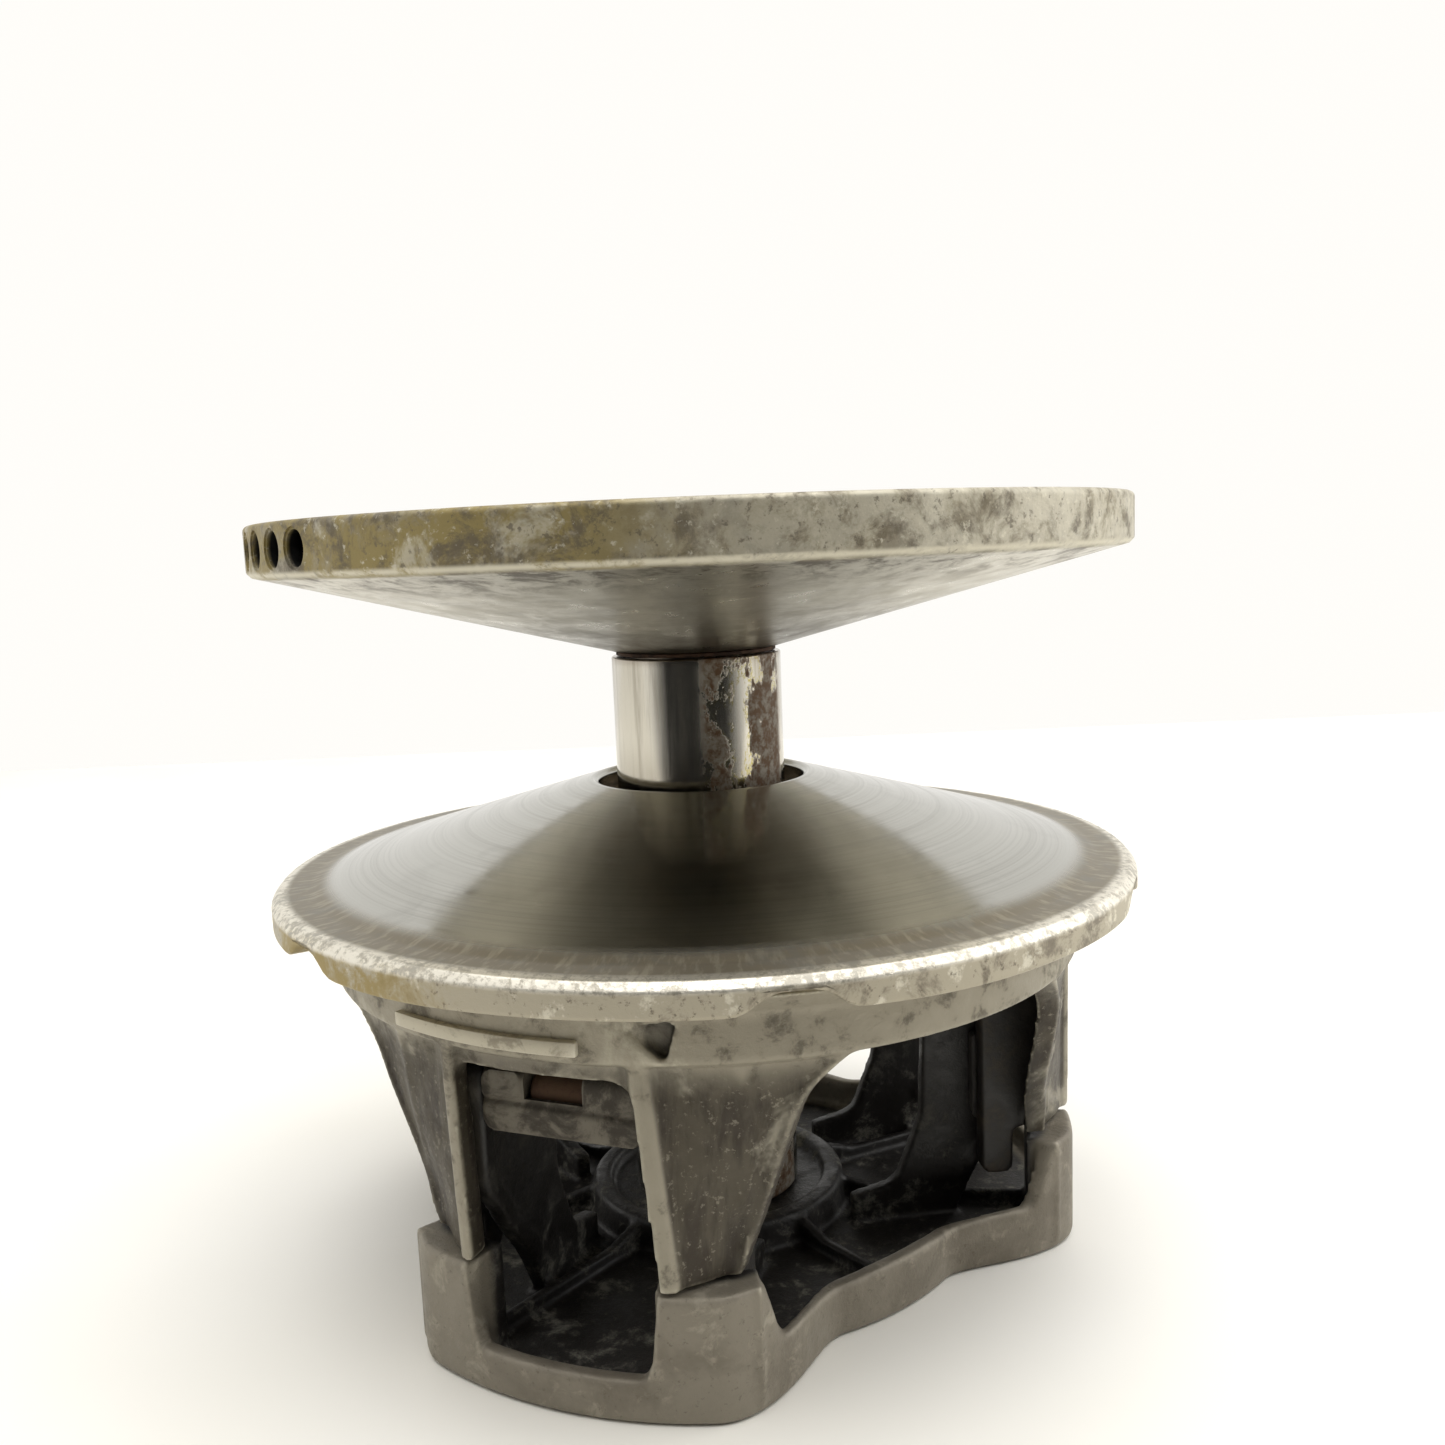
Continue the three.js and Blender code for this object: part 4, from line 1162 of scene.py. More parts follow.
@dataclass
class FixedSheave:
    """The upper sheave: a cone with a deep rim, four balance holes and ribs on its back."""

    rim_r: float = 104.0
    land: float = 8.8
    rim_top: float = ENGINE_END
    rim_low: float = 170.0
    hub_r: float = POST_R
    hub_z: float = 148.4
    bore_r: float = 17.3
    hole_r: float = 3.7
    hole_z: float = 175.6
    holes: tuple[float, ...] = (-134.0, -127.9, -121.5, -115.5)
    ribs: int = 6
    rib_t: float = 4.4
    dish_r: float = 40.0
    dish_depth: float = 17.5
    cone_depth: float = 5.2
    hub_depth: float = 1.2

    @property
    def back_r(self) -> float:
        """Returns the radius of the large end of the cone on the back."""
        return self.rim_r - self.land - 2.5

    def cone(self) -> Solid:
        """Turns the sheave and drills its balance holes.

        Returns:
            The sheave.
        """
        profile = spaced(rounded([
            (self.bore_r, self.hub_z, 0.4),
            (self.hub_r, self.hub_z, 0.5),
            (self.rim_r - 1.1, self.rim_low - 0.2, 0.9),
            (self.rim_r, self.rim_low + 0.9, 0.9),
            (self.rim_r, self.rim_top, 1.3),
            (self.rim_r - self.land, self.rim_top, 0.8),
            (self.back_r, self.rim_top - self.cone_depth, 2.0),
            (self.dish_r, self.rim_top - self.dish_depth, 4.0),
            (self.dish_r - 6, self.rim_top - self.dish_depth + 1, 2.5),
            (self.dish_r - 9, self.rim_top - self.hub_depth, 0.8),
            (self.bore_r, self.rim_top - self.hub_depth, 0.4),
        ]))
        sheave = lathe("fixed_sheave_cone", profile, 288)
        drills = []
        for angle in self.holes:
            drill = cross_pin("drill", self.hole_r, 0.0, self.hole_z, self.back_r + 0.5, self.rim_r + 2, 40)
            mouth = cross_pin("mouth", self.hole_r + 0.55, 0.0, self.hole_z, self.rim_r - 0.5, self.rim_r + 2,
                              40)
            for tool in (drill, mouth):
                tool.data.transform(Matrix.Rotation(math.radians(angle - 90), 4, "Z"))
                drills.append(tool)
        return smooth(carve(sheave, drills), 28)

    def rib_set(self, finish: Material) -> Solid:
        """Draws one back rib and repeats it round the shaft.

        Args:
            finish: Its material.

        Returns:
            All the ribs in one mesh.
        """
        start, end = self.dish_r - 3.7, self.back_r - 0.4
        bottom = self.rim_top - self.dish_depth
        rise = (self.dish_depth - self.cone_depth) / (self.back_r - self.dish_r)
        outline = rounded([
            (start, bottom + 0.5),
            (self.dish_r, bottom - 0.1),
            (end, bottom + (end - self.dish_r) * rise),
            (end, self.rim_top - 2.2, 3.0),
            (start, self.rim_top - 4.4, 2.0),
        ])
        rib = prism("fixed_sheave_back_ribs", outline, -self.rib_t / 2, self.rib_t / 2, Draw.ACROSS)
        bevelled(rib, 0.9)
        grown(rib, around_shaft_tree(), {"Count": self.ribs, "First Angle": math.radians(30),
                                         "Material": finish})
        return smooth(rib)

    def build(self, finishes: Finishes) -> None:
        """Builds and ties both pieces of the sheave.

        Args:
            finishes: The finishes to choose from.
        """
        report(self.cone(), "shaft", ["fixed_sheave"], finishes.fixed)
        nodes = [f"back_rib_{i + 1}" for i in range(self.ribs)]
        report(self.rib_set(finishes.fixed), "shaft", nodes)


@dataclass
class Post:
    """The polished post with its taper bore, and the thin spacer under the fixed sheave."""

    radius: float = POST_R
    low: float = 9.3
    shoulder: float = 146.9
    spigot_r: float = 17.0
    top: float = ENGINE_END
    mouth_r: float = 14.0
    taper_r: float = 11.0
    taper_z: float = 112.0
    bolt_r: float = 7.6

    def build(self, finishes: Finishes) -> None:
        """Turns and ties the post and the spacer.

        Args:
            finishes: The finishes to choose from.
        """
        profile = spaced(rounded([
            (self.bolt_r, self.low, 0.3),
            (self.radius, self.low, 1.0),
            (self.radius, self.shoulder, 0.5),
            (self.spigot_r, self.shoulder),
            (self.spigot_r, self.top, 0.6),
            (self.mouth_r, self.top, 0.5),
            (self.taper_r, self.taper_z),
            (self.bolt_r, self.taper_z),
        ]))
        post = smooth(lathe("post_tube", profile, 192))
        report(post, "shaft", ["post"], finishes.post)
        low, high = (corner.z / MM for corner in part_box("hub_spacer"))
        inner, outer = self.spigot_r + 0.3, self.radius - 1.2
        ring = rounded([(inner, low), (outer, low, 0.2), (outer, high, 0.2), (inner, high)], 3)
        spacer = smooth(lathe("hub_spacer_ring", ring, 96))
        report(spacer, "shaft", ["hub_spacer"], finishes.rusty)


@dataclass
class Tower:
    """One tower under the sliding sheave, on its lobe's centre line: two legs, a header and side walls."""

    wall_r: float = 88.5
    wall_t: float = 4.2
    foot: float = 28.3
    top: float = 83.0
    window_top: float = 71.0
    left_foot: float = 19.6
    left_top: float = 21.6
    right_foot: float = 22.4
    right_top: float = 18.4
    bead_left: float = 3.4
    bead_right: float = 3.8
    bead_rise: float = 1.4
    side_v: float = 30.5
    side_t: float = 5.0
    edge_foot: float = 35.2
    edge_lean: float = 0.36
    edge_flare: float = 9.5
    panel_dip: float = 0.5
    panel_sink: float = 5.2

    def window_edge(self, side: int, z: float) -> float:
        """Finds how far a leg's window edge is from the centre line at a height.

        Args:
            side: -1 or 1 for the side of the centre line.
            z: The height.

        Returns:
            The distance.
        """
        t = min(1.0, (z - self.foot) / (self.window_top - self.foot))
        if side < 0:
            return self.left_foot + (self.left_top - self.left_foot) * t
        return self.right_foot + (self.right_top - self.right_foot) * t

    def outer_edge(self, z: float) -> float:
        """Returns how far a leg's outer edge is from the centre line at a height."""
        straight = self.edge_foot + (z - self.foot) * self.edge_lean
        return straight + self.edge_flare * smoothstep(z, 62, 82) ** 1.5

    def leg(self, side: int) -> Solid:
        """Makes one leg as a curved wall whose outer face carries beads and a sunken panel.

        Args:
            side: -1 or 1 for the side of the centre line.

        Returns:
            The leg.
        """
        across, up = 40, 70
        bead = self.bead_left if side < 0 else self.bead_right
        outer, inner = [], []
        for j in range(up + 1):
            z = self.foot + (self.top - self.foot) * j / up
            v0, v1 = self.window_edge(side, z), self.outer_edge(z)
            low = 1 - smoothstep(z, 34, 70)
            for i in range(across + 1):
                v = v0 + (v1 - v0) * i / across
                from_window, from_edge = v - v0, v1 - v
                sink = self.panel_dip + self.panel_sink * low * smoothstep(from_window, bead, v1 - v0)
                proud = self.bead_rise + self.panel_dip
                rise = proud * (1 - smoothstep(from_window, bead - 0.7, bead + 0.5))
                rise += 0.6 * math.exp(-((v - 36.5 - 0.05 * (z - self.foot)) / 0.9) ** 2)
                rise += 1.0 * (1 - smoothstep(from_edge, 1.2, 2.2))
                r = self.wall_r - sink * smoothstep(from_window, bead - 0.5, bead + 1.5) + rise
                r += 1.6 * smoothstep(z, 66, 78) * smoothstep(from_window, 4, 14)
                back = self.wall_r - self.wall_t - self.panel_sink * low * smoothstep(v, self.side_v - 2, v1)
                outer.append((math.sqrt(r * r - v * v), side * v, z))
                inner.append((math.sqrt(back * back - v * v), side * v, z))
        n, total = across + 1, (across + 1) * (up + 1)
        faces = []
        for j in range(up):
            for i in range(across):
                a = j * n + i
                faces.append((a, a + 1, a + n + 1, a + n))
                faces.append((total + a, total + a + n, total + a + n + 1, total + a + 1))
        border = [i for i in range(n)] + [j * n + across for j in range(1, up + 1)]
        border += [up * n + i for i in range(across - 1, -1, -1)] + [j * n for j in range(up - 1, 0, -1)]
        for k, a in enumerate(border):
            b = border[(k + 1) % len(border)]
            faces.append((a, total + a, total + b, b))
        return mesh_object("leg", outer + inner, faces)

    def header(self) -> Solid:
        """Makes the curved wall above the window, with the window's rounded upper corners.

        Returns:
            The wall.
        """
        outline = rounded([
            (-27, self.top),
            (-27, 56),
            (-self.left_top - 0.6, 56),
            (-self.left_top, self.window_top, 3.5),
            (self.right_top, self.window_top, 6.0),
            (self.right_top + 1.2, 56),
            (27, 56),
            (27, self.top),
        ])
        plate = prism("header", outline, 70, 96, Draw.OUT)
        ring = lathe("ring", [(self.wall_r - self.wall_t, 50), (self.wall_r, 50), (self.wall_r, 90),
                              (self.wall_r - self.wall_t, 90)], 192)
        return carve(plate, [ring], "INTERSECT")

    def side_wall(self, side: int) -> Solid:
        """Makes one of the walls that run in from a leg and slide on the cup's ears.

        Args:
            side: -1 or 1 for the side of the centre line.

        Returns:
            The wall.
        """
        outline = rounded([(61, 17.5, 3), (69, 17.5, 2.5), (69, self.foot, 1), (78, self.foot + 3, 2),
                           (80.5, 96), (61, 101)])
        middle = side * self.side_v
        return prism("side_wall", outline, middle - self.side_t / 2, middle + self.side_t / 2, Draw.ACROSS)

    def clevis(self) -> list[Solid]:
        """Makes the two cheeks and the web that hold the ramp.

        Returns:
            The three solids.
        """
        outline = rounded([(46, 80, 3), (60, 80, 3), (62, 102), (44, 106)])
        cheeks = [prism("cheek", outline, v, v + 3.2, Draw.ACROSS) for v in (-7.5, 4.3)]
        return [*cheeks, block("web", (47, -5.3, 88.6), (59, 5.3, 104))]

    def parts(self) -> list[Solid]:
        """Makes every solid of the tower, overlapping where they join.

        Returns:
            The solids, on the lobe whose centre line is +X.
        """
        made = [self.header(), *self.clevis()]
        for side in SIDES:
            made += [self.leg(side), self.side_wall(side)]
        return made


@dataclass
class SlidingSheave:
    """The lower sheave: belt face, worn edge, rim, skirt, hub and three towers."""

    radius: float = 105.1
    edge_z: float = 94.5
    face_z: float = 116.9
    bore_r: float = SLIDING_BORE_R
    hub_r: float = 30.5
    hub_low: float = 60.0
    flange_r: float = FLANGE_R
    rim_low: float = 89.2
    skirt_r: float = 91.5
    skirt_t: float = 4.0
    skirt_low: float = 75.0
    scallop_at: float = 31.0
    scallop_half: float = 4.6
    scallop_rise: float = 4.2

    def scallop(self, r: float, z: float, angle: float) -> Point:
        """Lifts the rim's lower edge in an arch beside each tower.

        Args:
            r: A profile point's radius.
            z: Its height.
            angle: Its angle from +X, in degrees.

        Returns:
            The moved radius and height.
        """
        share = smoothstep(r, self.skirt_r + 1, self.skirt_r + 5) * (1 - smoothstep(z, 90.5, 94.0))
        if share <= 0:
            return r, z
        middles = [lobe + side * self.scallop_at for lobe in LOBES for side in SIDES]
        away = min(abs((angle - middle + 180) % 360 - 180) for middle in middles)
        arch = math.exp(-((away / self.scallop_half) ** 4))
        wave = 0.35 * math.sin(math.radians(angle) * 5 + 1.2) + 0.2 * math.sin(math.radians(angle) * 11)
        return r, z + share * (self.scallop_rise * arch + wave * 0.5)

    def disc(self) -> Solid:
        """Turns the belt face, rim and hub.

        Returns:
            The disc.
        """
        slope = (self.face_z - (self.edge_z + 2.6)) / (self.radius - 9 - self.bore_r - 1.2)
        profile = spaced(rounded([
            (self.bore_r, self.hub_low, 0.3),
            (self.flange_r, self.hub_low, 0.8),
            (self.flange_r, self.hub_low + 5, 0.8),
            (self.hub_r, self.hub_low + 8, 1.5),
            (self.hub_r, 105.0, 4.0),
            (self.skirt_r - self.skirt_t - 2, 91.6, 2.0),
            (self.skirt_r - self.skirt_t + 1, 87.5, 1.0),
            (self.skirt_r + 1.5, 87.4, 1.5),
            (self.skirt_r + 4.0, self.rim_low, 1.5),
            (self.radius, self.rim_low, 0.9),
            (self.radius, self.edge_z + 0.3, 1.2),
            (self.radius - 1.5, self.edge_z + 2.0, 1.1),
            (self.radius - 3.6, self.edge_z + 2.3, 0.8),
            (self.radius - 9, self.edge_z + 2.6, 6.0),
            (self.bore_r + 1.6, self.face_z - slope * 0.4, 1.2),
            (self.bore_r, self.face_z - 1.0, 0.8),
        ]), 0.35, 5.0)
        return smooth(lathe("sliding_sheave_disc", profile, 320, self.scallop), 40)

    def skirt(self) -> Solid:
        """Makes the skirt with the small pocket beside each window.

        Returns:
            The skirt.
        """
        inner = self.skirt_r - self.skirt_t
        profile = rounded([(inner, self.skirt_low, 0.8), (self.skirt_r, self.skirt_low, 1.4),
                           (self.skirt_r, 85.5, 2.5), (self.skirt_r + 4.5, 90.2), (inner - 1.5, 92.6),
                           (inner, 88.5)])
        body = lathe("skirt", spaced(profile), 240)
        pocket = prism("pocket", [(17.5, 83.4), (28.0, 84.2), (26.0, 76.0)], 84, 96, Draw.OUT)
        return carve(body, copies(pocket))

    def bars(self) -> Solid:
        """Makes the crisp raised bar across the skirt above each window."""
        bar = sector("bar", self.skirt_r - 1, self.skirt_r + 1.5, -22.5, 6, 77.3, 80.4)
        return smooth(joined("sliding_sheave_bars", copies(bevelled(bar, 0.5))))

    def casting(self, tower: Tower) -> Solid:
        """Melts the skirt and towers into one casting.

        Args:
            tower: The tower that is repeated on each lobe.

        Returns:
            The casting.
        """
        solids = [self.skirt()]
        for part in tower.parts():
            solids += copies(part)
        return cast(joined("sliding_sheave_casting", solids), voxel=0.75, smoothing=4, keep=0.42)

    def build(self, finishes: Finishes) -> None:
        """Builds and ties the sheave's disc, bars and casting.

        Args:
            finishes: The finishes to choose from.
        """
        body, slot = "sliding_half", "sliding_sheave_cast"
        nodes = [f"{kind}_{i + 1}" for kind in ("tower", "ramp_clevis") for i in range(len(LOBES))]
        report(self.disc(), body, ["sliding_sheave"], finishes.face)
        report(self.bars(), body, ["sliding_sheave"], finishes.bar)
        report(self.casting(Tower()), body, ["sliding_sheave", *nodes], finishes.tower)


@dataclass
class GovernorCup:
    """The three-lobed cup at the foot: low walls, raised corners, ribs, a hub ring and ears."""

    lobe_r: float = 90.5
    flank_r: float = 67.0
    floor_t: float = 4.0
    wall_t: float = 4.0
    wall_z: float = 13.0
    low_wall_z: float = 9.5
    corner_z: float = 27.4
    corner_a: float = 13.4
    corner_b: float = 27.5
    corner_r: float = 79.5
    ring_r: float = 32.5
    ring_bore: float = 27.6
    ring_top: float = 11.4
    bolt_r: float = 8.2
    seat_low: float = 5.4
    seat_top: float = 9.0
    ear_v: float = 22.0
    ear_t: float = 5.0
    ear_top: float = 69.2
    boss_r: float = 6.0
    hole_r: float = 3.15
    ribs: tuple[float, ...] = (-17.0, 17.0, 60.0)

    @staticmethod
    def from_lobe(angle: float) -> float:
        """Returns an angle's distance from the nearest lobe's centre line, in degrees."""
        return abs((angle + 90 + 60) % 120 - 60)

    def wall_radius(self, angle: float) -> float:
        """Returns the cup's outer radius at an angle."""
        share = smoothstep(self.from_lobe(angle), 21, 46)
        return self.lobe_r + (self.flank_r - self.lobe_r) * share

    def wall_height(self, angle: float) -> float:
        """Finds the height of the wall's top at an angle.

        Args:
            angle: Angle from +X, in degrees.

        Returns:
            The height.
        """
        away = self.from_lobe(angle)
        corner = smoothstep(away, self.corner_a - 0.8, self.corner_a + 0.6)
        corner *= 1 - smoothstep(away, self.corner_b - 0.2, self.corner_b + 3.5)
        base = self.low_wall_z + (self.wall_z - self.low_wall_z) * smoothstep(away, 16, 30)
        base -= 1.0 * math.exp(-((away - 44) / 7) ** 2)
        return base + (self.corner_z - base) * corner

    def shell(self) -> Solid:
        """Turns the floor and the outer wall, whose radius and height follow the lobes.

        Returns:
            The shell.
        """
        plain, rim, edge = 100.0, 2.0, 8.0
        start = self.ring_r - 2
        profile = spaced(rounded([
            (start, 0.0),
            (plain, 0.0, 1.6),
            (plain, plain, 1.2),
            (plain - self.wall_t, plain, 1.2),
            (plain - self.wall_t, self.floor_t, 1.5),
            (start, self.floor_t),
        ]), 0.5, 6.0)

        def follow(r: float, z: float, angle: float) -> Point:
            """Moves a profile point of the plain round cup on to the lobed outline.

            Args:
                r: The point's radius.
                z: Its height.
                angle: Its angle from +X, in degrees.

            Returns:
                The moved radius and height.
            """
            top, low = self.wall_height(angle), self.floor_t + 1.6
            if z > plain - rim:
                z = top - (plain - z)
            elif z > low:
                z = low + (z - low) * (top - rim - low) / (plain - rim - low)
            outside = self.wall_radius(angle) - (plain - r)
            if r < plain - edge:
                share = max(0.0, (r - start) / (plain - start - edge))
                return start + (outside - start) * share, z
            return outside, z

        return lathe("cup_shell", profile, 360, follow)

    def hub(self) -> Solid:
        """Turns the hub ring and the seat under the post.

        Returns:
            The hub.
        """
        profile = rounded([
            (self.bolt_r, self.seat_low, 0.3),
            (self.ring_bore, self.seat_low),
            (self.ring_bore, 0.0, 0.8),
            (self.ring_r, 0.0),
            (self.ring_r + 1.2, self.floor_t),
            (self.ring_r, self.ring_top, 1.4),
            (self.ring_bore, self.ring_top, 1.0),
            (self.ring_bore, self.seat_top, 0.6),
            (self.bolt_r, self.seat_top, 0.3),
        ])
        return lathe("cup_hub", spaced(profile), 144)

    def corners(self) -> list[Solid]:
        """Makes the thick corners that stand under a tower's feet.

        Returns:
            Both corners of one lobe.
        """
        made = []
        for side in SIDES:
            a0, a1 = sorted((side * self.corner_a, side * self.corner_b))
            made.append(sector("corner", self.corner_r, 87.6, a0, a1, 2, self.corner_z - 0.1))
        return made

    def ears(self) -> list[Solid]:
        """Makes the two ears of a lobe, each with a raised border, and the webs to the hub ring.

        Returns:
            The solids, with the pivot's hole through each ear.
        """
        u, z = PIVOT_U, PIVOT_Z
        outline = rounded([
            (self.ring_r - 2, 2),
            (56, 2, 1),
            (59, 8, 4),
            (66, 22, 10),
            (80, 40, 7),
            (80, self.ear_top, 5),
            (50, self.ear_top, 4),
            (48.5, 30, 14),
            (42, 13.5, 6),
            (self.ring_r - 2, 10.8),
        ])
        border = rounded([
            (61, 14, 6),
            (70, 26, 10),
            (79.5, 41, 6),
            (79.5, 67, 4),
            (76.3, 67),
            (76.3, 42, 6),
            (67, 28, 10),
            (59, 18, 4),
        ])
        made = []
        for side in SIDES:
            middle = side * self.ear_v
            v0, v1 = middle - self.ear_t / 2, middle + self.ear_t / 2
            for solid in (prism("ear", outline, v0 + 0.5, v1 - 0.5, Draw.ACROSS),
                          cross_pin("boss", self.boss_r, u, z, v0, v1, 48, 0.4)):
                hole = cross_pin("hole", self.hole_r, u, z, middle - self.ear_t, middle + self.ear_t, 40)
                made.append(carve(solid, [hole]))
            made.append(prism("border", border, v0, v1, Draw.ACROSS))
        return made

    def rib(self, angle: float) -> Solid:
        """Makes a low rib from the hub ring to the wall, at an angle from a lobe's centre line.

        Args:
            angle: The angle, in degrees.

        Returns:
            The rib.
        """
        reach = self.wall_radius(angle - 90) - self.wall_t / 2
        outline = rounded([(self.ring_r - 2, 2), (reach, 2), (reach, 7.6), (self.ring_r + 9, 7.2, 5),
                           (self.ring_r - 2, 10.6)])
        made = prism("rib", outline, -1.3, 1.3, Draw.ACROSS)
        made.data.transform(Matrix.Rotation(math.radians(angle), 4, "Z"))
        return made

    def build(self, finishes: Finishes) -> None:
        """Melts the cup's solids into one casting and ties it.

        Args:
            finishes: The finishes to choose from.
        """
        solids = [self.shell(), self.hub()]
        for part in (*self.corners(), *self.ears(), *(self.rib(a) for a in self.ribs)):
            solids += copies(part)
        cup = cast(joined("governor_cup_casting", solids), voxel=0.7, smoothing=5, keep=0.42)
        report(cup, "shaft", ["governor_cup"], finishes.cup)


@dataclass
class LeverSet:
    """One lobe's lever with its bush, bolt, nut, roller, ramp and shoes."""

    number: int
    angle: float
    pivot_u: float = PIVOT_U
    pivot_z: float = PIVOT_Z
    bolt_r: float = 3.0
    head_left: float = -18.9
    head_right: float = 17.6
    arm: float = 27.5
    drop: float = 20.0
    swing: float = 58.0
    roller_r: float = 7.0
    roller_w: float = 11.0
    ramp_half: float = 4.0
    ramp_top: float = 88.2
    travel: float = TRAVEL
    shoe_z: tuple[float, float] = (30.0, 52.0)
    hexagon_r: float = 4.6
    hexagon_v: tuple[float, float] = (24.8, 27.1)
    screw_u: float = 53.0
    screw_z: float = 84.0

    @property
    def roller_at(self) -> Point:
        """Returns the roller's radius and height at rest."""
        a = math.radians(180 + self.drop)
        return self.pivot_u + self.arm * math.cos(a), self.pivot_z + self.arm * math.sin(a)

    def put(self, piece: Solid) -> Solid:
        """Turns a piece made on +X to this lobe and names it after the lobe.

        Args:
            piece: The piece.

        Returns:
            The same piece.
        """
        piece.data.transform(Matrix.Rotation(math.radians(self.angle), 4, "Z"))
        piece.name = f"{piece.name}_{self.number}"
        return piece

    def lever(self) -> Solid:
        """Casts the lever: a wide head with a stepped face and a notch, and two arms.

        Returns:
            The lever.
        """
        u, z = self.pivot_u, self.pivot_z
        ru, rz = self.roller_at
        left, right = self.head_left + 0.2, self.head_right - 0.2
        section = rounded([(u + 6.4, z - 7.6, 2.6), (u + 6.4, z + 6.6, 3.0), (u - 7, z + 6.6, 4),
                           (u - 9, z - 7.6, 3)])
        head = prism("head", section, self.head_left, self.head_right, Draw.ACROSS)
        step = rounded([(left, z - 7.2, 4.5), (right, z - 7.2, 3), (right, z - 1.6, 1), (left, z - 1.0, 1)])
        face = prism("face", step, u, u + 7.3, Draw.OUT)
        ledge = rounded([(left, z + 0.2, 1), (-9.6, z + 0.2, 1), (-9.6, z + 6.2, 1.5), (left, z + 6.2, 3)])
        lip = prism("lip", ledge, u, u + 7.1, Draw.OUT)
        arm = rounded([(u - 5, z + 5.5, 2), (ru - 5.2, rz + 5, 4.5), (ru - 5.2, rz - 5, 4.5),
                       (u - 5, z - 7, 2)])
        arms = [prism("arm", arm, v, v + 5.5, Draw.ACROSS) for v in (-11.8, 6.3)]
        solids = [head, face, lip, *arms]
        made = cast(joined("lever_arm", solids), voxel=0.5, smoothing=2, keep=0.6)
        tools = [
            block("notch", (u - 20, -9.0, z + 0.2), (u + 12, 4.4, z + 9)),
            cross_pin("bush_room", 5.3, u, z, -9.0, 4.4, 40),
            block("ramp_room", (u - 30, -6.3, z - 20), (u - 5.6, 6.3, z + 20)),
            cross_pin("pivot_hole", self.bolt_r + 0.15, u, z, -30, 30, 32),
            cross_pin("roller_hole", 2.6, ru, rz, -30, 30, 32),
        ]
        return smooth(carve(made, tools), 40)

    def bush(self) -> Solid:
        """Turns the bush in the lever's notch."""
        sleeve = cross_pin("pivot_bush", 5.0, self.pivot_u, self.pivot_z, -8.6, 4.0, 48, 0.5)
        return smooth(carve(sleeve, [cross_pin("hole", 3.15, self.pivot_u, self.pivot_z, -10, 10, 40)]))

    def bolt(self) -> Solid:
        """Makes the pivot bolt with its hexagon head.

        Returns:
            The bolt.
        """
        u, z = self.pivot_u, self.pivot_z
        near, far = self.hexagon_v
        shank = cross_pin("pivot_bolt", self.bolt_r, u, z, -near - 0.2, near + 0.9, 40, 0.4)
        head = bevelled(cross_pin("head", self.hexagon_r, u, z, -far, -near, 6), 0.35)
        return smooth(carve(shank, [head], "UNION"))

    def nut(self) -> Solid:
        """Makes the pivot nut.

        Returns:
            The nut.
        """
        u, z = self.pivot_u, self.pivot_z
        nut = bevelled(cross_pin("pivot_nut", self.hexagon_r, u, z, *self.hexagon_v, 6), 0.35)
        return smooth(carve(nut, [cross_pin("hole", 3.3, u, z, 20, 30, 40)]))

    def roller(self) -> Solid:
        """Turns the roller with softened rims.

        Returns:
            The roller.
        """
        u, z = self.roller_at
        half = self.roller_w / 2
        wheel = cross_pin("roller_wheel", self.roller_r, u, z, -half, half, 72, 0.6)
        return smooth(carve(wheel, [cross_pin("hole", 2.65, u, z, -10, 10, 40)]), 20)

    def roller_pin(self) -> Solid:
        """Makes the pin that the roller turns on.

        Returns:
            The pin.
        """
        u, z = self.roller_at
        half = self.roller_w / 2 + 6.3
        return smooth(cross_pin("wheel_pin", 2.5, u, z, -half - 0.4, half + 0.4, 40, 0.4))

    def ramp(self) -> Solid:
        """Makes the ramp by clearing the roller's path from a block.

        Returns:
            The ramp.
        """
        outline = rounded([(43, 56.5, 1), (60, 56.5, 2), (59, self.ramp_top, 2), (46, self.ramp_top, 2),
                           (43, 70, 4)])
        body = prism("ramp_block", outline, -self.ramp_half, self.ramp_half, Draw.ACROSS)
        tools = []
        steps = 24
        for i in range(steps + 1):
            share = i / steps
            a = math.radians(180 + self.drop - self.swing * share)
            u = self.pivot_u + self.arm * math.cos(a)
            z = self.pivot_z + self.arm * math.sin(a) - self.travel * share
            tools.append(cross_pin("path", self.roller_r + 0.3, u, z, -8, 8, 56))
        tools.append(cross_pin("hole", 2.1, self.screw_u, self.screw_z, -8, 8, 32))
        return smooth(bevelled(carve(body, tools), 0.3, 45))

    def ramp_screw(self) -> Solid:
        """Makes the screw across the ramp's clevis.

        Returns:
            The screw.
        """
        shank = cross_pin("clevis_screw", 2.0, self.screw_u, self.screw_z, -8.5, 8.0, 32, 0.3)
        head = bevelled(cross_pin("head", 3.4, self.screw_u, self.screw_z, -10.5, -7.8, 6), 0.3)
        return smooth(carve(shank, [head], "UNION"))

    def shoe(self, side: int) -> Solid:
        """Moulds one slider shoe.

        Args:
            side: -1 or 1 for the side of the centre line.

        Returns:
            The shoe.
        """
        low, high = self.shoe_z
        outline = rounded([(60.5, low, 1.5), (68.5, low, 1.5), (68.5, high, 1.5), (60.5, high, 1.5)])
        v0, v1 = sorted((side * 24.8, side * 27.7))
        name = "shoe_left" if side < 0 else "shoe_right"
        return smooth(bevelled(prism(name, outline, v0, v1, Draw.ACROSS), 0.35))

